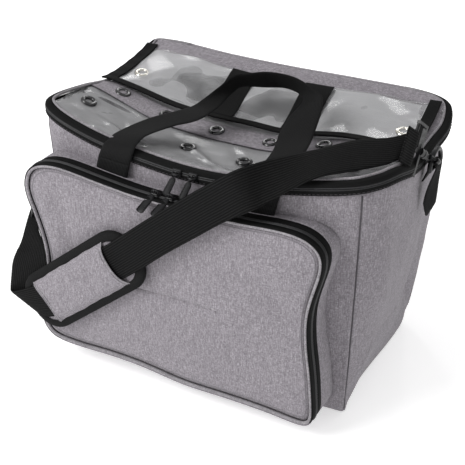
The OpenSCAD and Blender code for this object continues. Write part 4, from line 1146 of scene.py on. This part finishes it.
o2 = rounded(170, 61, 25, 12)
npd = len(o2)
rows = []
prof = [(0.0, 4.0), (0.35, 3.9), (0.7, 3.6), (0.88, 3.0), (0.97, 1.6), (1.0, 0.2), (0.97, -1.4), (0.88, -2.8), (0.7, -3.6), (0.35, -4.2), (0.0, -4.4)]
for r, f in prof:
    k = np.clip(r, 0.02, 1)
    sp = o2.copy()
    sp[:, 0] = np.clip(o2[:, 0], -50, 50) * (1 - k) * 0.9 + o2[:, 0] * k
    sp[:, 1] = o2[:, 1] * k
    rows.append(A([pad_pt(a, b, f) for a, b in sp]))
mesh("shoulder_pad_foam", A(rows).reshape(-1, 3), gridF(len(prof), npd, False, True), "heather_fabric", "pad", "heather_fabric", "shoulder_pad")
# binding wrapped over the pad's edge
oc = rounded(170, 61, 25, 12)
path = A([pad_pt(a, b, 0) for a, b in oc])
tg = unit(np.roll(path, -1, 0) - np.roll(path, 1, 0))
ox = np.cross(tg, pf[None])
if (ox[0] @ (path[0] - pc)) < 0:
    ox = -ox
oy = np.tile(pf, (npd, 1))
sec = [(4.4, 0), (3.9, 2.0), (2.2, 3.4), (-1, 4.2), (-5.6, 4.7), (-6.2, 4.0), (-2, 2.4), (-2, -2.4), (-6.2, -4.2), (-5.6, -4.9), (-1, -4.2), (2.2, -3.4), (3.9, -2.0)]
P, F, U = band(path, ox, oy, sec, True)
U = np.stack([U[:, 0], U[:, 1]], 1)
mesh("pad_edge_tape", P, F, "pad_tape", "pad", "binding_tape", "pad_binding", UV=U)
# sleeve over the webbing: its two ends are cut in concave curves, and it bows over the strap
nx, ny = 44, 22
b = np.linspace(-27.0, 27.0, ny)
half = 60.5 - 5.5 * (1 - (b / 27.0) ** 2) ** 1.0
uu = np.linspace(-1, 1, nx)
Av = uu[:, None] * half[None] - 1.5
Bv = np.broadcast_to(b[None], Av.shape)
prof_f = 7.6 * (1 - np.abs(b / 27.6) ** 5) + 2.0
Fv = np.broadcast_to(prof_f[None], Av.shape) + 0.5 * np.sin(Av * 0.12 + 1) * np.cos(Bv * 0.09) + 0.25 * np.sin(Av * 0.3 + Bv * 0.2)
Pv = pc + Av[..., None] * pu + Bv[..., None] * pa + Fv[..., None] * pf
sl = mesh("pad_cloth_sleeve", Pv.reshape(-1, 3), gridF(nx, ny), "heather_fabric", "pad", "heather_fabric", "pad_sleeve", solid=(1.1, 0))
hems = []
for e in (0, nx - 1):
    sgn = -1 if e == 0 else 1
    hems.append(tube(Pv[e] + pf * 0.5, 0.75, k=6))
    ins = Pv[e] + pf * 0.75 - sgn * pu * 3.2
    hems.append(tube(ins, 0.35, k=5))
P, F, U = join(hems)
hm = mesh("pad_sleeve_hems", P, F, "piping_cloth", "pad", "heather_fabric")

# ------------------------------------------------------------------ ring tabs
def tab(sx, name, rep):
    """webbing folded round the ring's bar: its inner end is sewn under the lid, its outer end hangs free and is cut to a point"""
    w2, y0 = 10.5, 14
    c = [[197.0, 236], [200.5, 246], [204.0, 254.5], [BX - 3.0, 256.5], [BX, 257.4], [BX + 3.2, 256.2], [BX + 4.0, 252.6], [BX + 2.6, 244], [BX + 0.6, 232],
         [BX - 0.8, 220], [BX - 1.8, 209]]
    tw = [0] * 7 + [0.25, 0.6, 0.9, 1.0]
    rows_ = [[[sx * (x - 3.0 * k), y0 - w2 - 1.2 * k, z + 4 * k], [sx * (x + 3.4 * k), y0 + w2 + 1.0 * k, z - 4 * k]] for (x, z), k in zip(c, tw)]
    R_ = crom(A(rows_).reshape(len(rows_), 6), 5)
    x, z = BX - 2.9, 209 - 7
    e1 = A([sx * (x - 1.6), y0 - 6.5, z + 1, sx * (x + 2.0), y0 + 8, z - 4])
    e2 = A([sx * (x - 1), y0 - 1.5, z - 8, sx * (x - 0.6), y0 + 2.0, z - 9])
    R_ = np.concatenate([R_, [e1], [e2]])
    P, F, U = ribbon(R_, 1.7, 1, 8, raw=True)
    mesh(name, P, F, "handle_webbing", "bag", "webbing", rep, UV=U)


tab(1, "right_tab_webbing", "right_ring_tab")
tab(-1, "left_tab_webbing", "left_ring_tab")

# ------------------------------------------------------------------ side pocket on the left
i0, i1 = key(23) + 4, key(27) - 4
idx = zip_run(i0, i1)
rows = []
top_z = 178
for j, h in enumerate(np.linspace(0, 1, 18)):
    z = 14 + (top_z - 14) * h
    p = A([wall_at(i, z) for i in idx])
    e = np.sin(np.linspace(0, 1, len(idx)) * math.pi) ** 0.35
    bul = (1.6 + 7.5 * math.sin(math.pi * min(1, 0.25 + 0.75 * h)) * (0.6 + 0.4 * h)) + (2.0 * h ** 3)
    p = p + NRM[idx] * (bul * e)[:, None]
    p[:, 2] += 1.5 * np.sin(np.linspace(0, 1, len(idx)) * math.pi) * -h * 3
    rows.append(p)
mesh("side_pocket_cloth", A(rows).reshape(-1, 3), gridF(18, len(idx)), "heather_fabric", "bag", "heather_fabric", "left_side_pocket", solid=(1.6, 1))
P, F, U = join([tube(A(rows)[-1] + [0, 0, 0.5], 2.2, k=8)])
mesh("side_pocket_binding", P, F, "binding_tape", "bag", "heather_fabric", UV=U)

# ------------------------------------------------------------------ sliders and pulls
def rbox(c, sx, sy, sz, R=None, taper=0.0):
    """box with centre c, sizes along the rows of R"""
    R = np.eye(3) if R is None else A(R)
    P = []
    for k in (-1, 1):
        for a, b_ in ((-1, -1), (1, -1), (1, 1), (-1, 1)):
            f = 1 - taper * (k + 1) / 2
            P.append(A(c) + R[0] * a * sx / 2 * f + R[1] * b_ * sy / 2 * f + R[2] * k * sz / 2)
    F = [(0, 1, 2, 3), (4, 7, 6, 5), (0, 4, 5, 1), (1, 5, 6, 2), (2, 6, 7, 3), (3, 7, 4, 0)]
    return A(P), F, None


def plate(origin, d, sx, n, L0=4.0, L1=24.0, wid=6.2, th=1.5):
    """pull: an eye on the pin, a neck and a long plate; d is the way it hangs, sx across, n its face"""
    o_ = A(origin)
    out = []
    ring = [o_ + (d * math.cos(a) + n * math.sin(a)) * 2.0 for a in np.linspace(0, 2 * math.pi, 15)[:-1]]
    out.append(tube(A(ring), 0.75, closed=True, k=6))
    # plate outline
    prof_ = []
    for s_, w_ in ((L0, 0.50), (L0 + 1.2, 0.8), (L0 + 3, 1.0), (L1 - 5, 1.12), (L1 - 1.6, 1.1), (L1 - 0.4, 0.8), (L1, 0.45)):
        prof_.append((s_, w_ * wid / 2))
    Pp, Fp = [], []
    for s_, hw in prof_:
        for z_ in (-th / 2, th / 2):
            Pp.append(o_ + d * s_ - sx * hw + n * z_)
            Pp.append(o_ + d * s_ + sx * hw + n * z_)
    m_ = len(prof_)
    for i in range(m_ - 1):
        a, b_ = 4 * i, 4 * (i + 1)
        Fp += [(a, a + 1, b_ + 1, b_), (a + 2, b_ + 2, b_ + 3, a + 3), (a, b_, b_ + 2, a + 2), (a + 1, a + 3, b_ + 3, b_ + 1)]
    Fp += [(0, 2, 3, 1), (4 * m_ - 4, 4 * m_ - 3, 4 * m_ - 1, 4 * m_ - 2)]
    out.append((A(Pp), Fp, None))
    # raised rim on the plate
    rim = [o_ + d * s_ + sx * hw * 0.72 * sg + n * (th / 2 + 0.1) for sg, seq in ((1, prof_[1:]), (-1, prof_[1:][::-1])) for s_, hw in seq]
    out.append(tube(A(rim), 0.42, closed=True, k=5))
    return out


def slider(name, pull_name, c, along, outw, up, body, pull_body, hang, rep_s, rep_p):
    """c is on the coil line; along the zipper, outw away from it, up across the tape"""
    along, outw, up = unit(along), unit(outw), unit(up)
    R = [along, up, outw]
    parts = [rbox(c + outw * 1.7, 10.5, 9.0, 1.5, R, 0.18), rbox(c + outw * 2.7 - along * 0.0, 8.2, 5.4, 1.3, R, 0.3), rbox(c - outw * 1.6, 9.5, 8.0, 1.2, R, 0.1)]
    br = [c + outw * 2.6 - along * 3.8, c + outw * 5.0 - along * 3.2, c + outw * 6.0 - along * 0.5, c + outw * 5.4 + along * 2.6, c + outw * 2.8 + along * 3.8]
    parts.append(tube(crom(br, 5), 1.15, k=8))
    P, F, U = join(parts)
    mesh(name, P, F, "black_metal", body, "black_metal", rep_s, bevel=0.35)
    hang = unit(hang)
    n = unit(np.cross(hang, np.cross(outw, hang)))
    sx = unit(np.cross(hang, n))
    big = name.startswith("pocket")
    P, F, U = join(plate(c + outw * 4.4, hang, sx, n, L1=26.5 if big else 24.0, wid=8.4 if big else 6.4, th=1.7))
    mesh(pull_name, P, F, "black_metal", pull_body, "black_metal", rep_p, bevel=0.25)


def on_front_edge(x):
    i = int(np.argmin(np.abs(T[:, 0] - x) + (T[:, 1] > 0) * 1000))
    c = T[i].copy()
    c[0] = x
    return c + [0, 0, CZ], NRM[i]


for sgn, nm, lean_x in ((-1, "left", -0.32), (1, "right", -0.30)):
    c, n_ = on_front_edge(sgn * 9)
    slider("lid_slider_body_" + nm, "lid_pull_plate_" + nm, c + [0, -0.4, 0], (1, 0, 0), (0, -1, 0), (0, 0, 1), "lid_slider_" + nm[0], "lid_pull_" + nm[0],
           (lean_x, -0.36, -0.88), "lid_slider_" + nm, "lid_pull_" + nm)
for x, nm, lx in ((-27.5, "left", -0.26), (-10.5, "right", -0.30)):
    i = ZPK[int(np.argmin(np.abs(PE[ZPK][:, 0] - x) + (PE[ZPK][:, 2] < 150) * 1000))]
    c = PE[i] + A([0, 8.8, 0.4])
    c[0] = x
    slider("pocket_slider_body_" + nm, "pocket_pull_plate_" + nm, c, (1, 0, 0), (0, 0, 1), (0, -1, 0), "pocket_slider_" + nm[0], "pocket_pull_" + nm[0],
           (lx, -0.80, -0.55), "pocket_slider_" + nm, "pocket_pull_" + nm)

# ------------------------------------------------------------------ carried-over hardware
for n in ("right_ring", "left_ring", "right_snap_hook", "left_snap_hook", "right_hook_gate", "left_hook_gate", "right_strap_eye", "left_strap_eye"):
    NODE[n].data.materials.clear()
    NODE[n].data.materials.append(MAT["black_metal"])
NODE["strap_adjuster"].data.materials.clear()
NODE["strap_adjuster"].data.materials.append(MAT["adjuster_plastic"])

# ------------------------------------------------------------------ floor
me = bpy.data.meshes.new("floor")
me.from_pydata([(-6, -6, -0.0005), (6, -6, -0.0005), (6, 6, -0.0005), (-6, 6, -0.0005)], [], [(0, 1, 2, 3)])
fl = bpy.data.objects.new("floor", me)
bpy.context.scene.collection.objects.link(fl)
m, nt, b_ = new_mat("floor_white")
b_.inputs["Base Color"].default_value = (0.92, 0.92, 0.92, 1)
b_.inputs["Roughness"].default_value = 0.9
b_.inputs["Emission Color"].default_value = (1, 1, 1, 1)
b_.inputs["Emission Strength"].default_value = 0.42
me.materials.append(m)
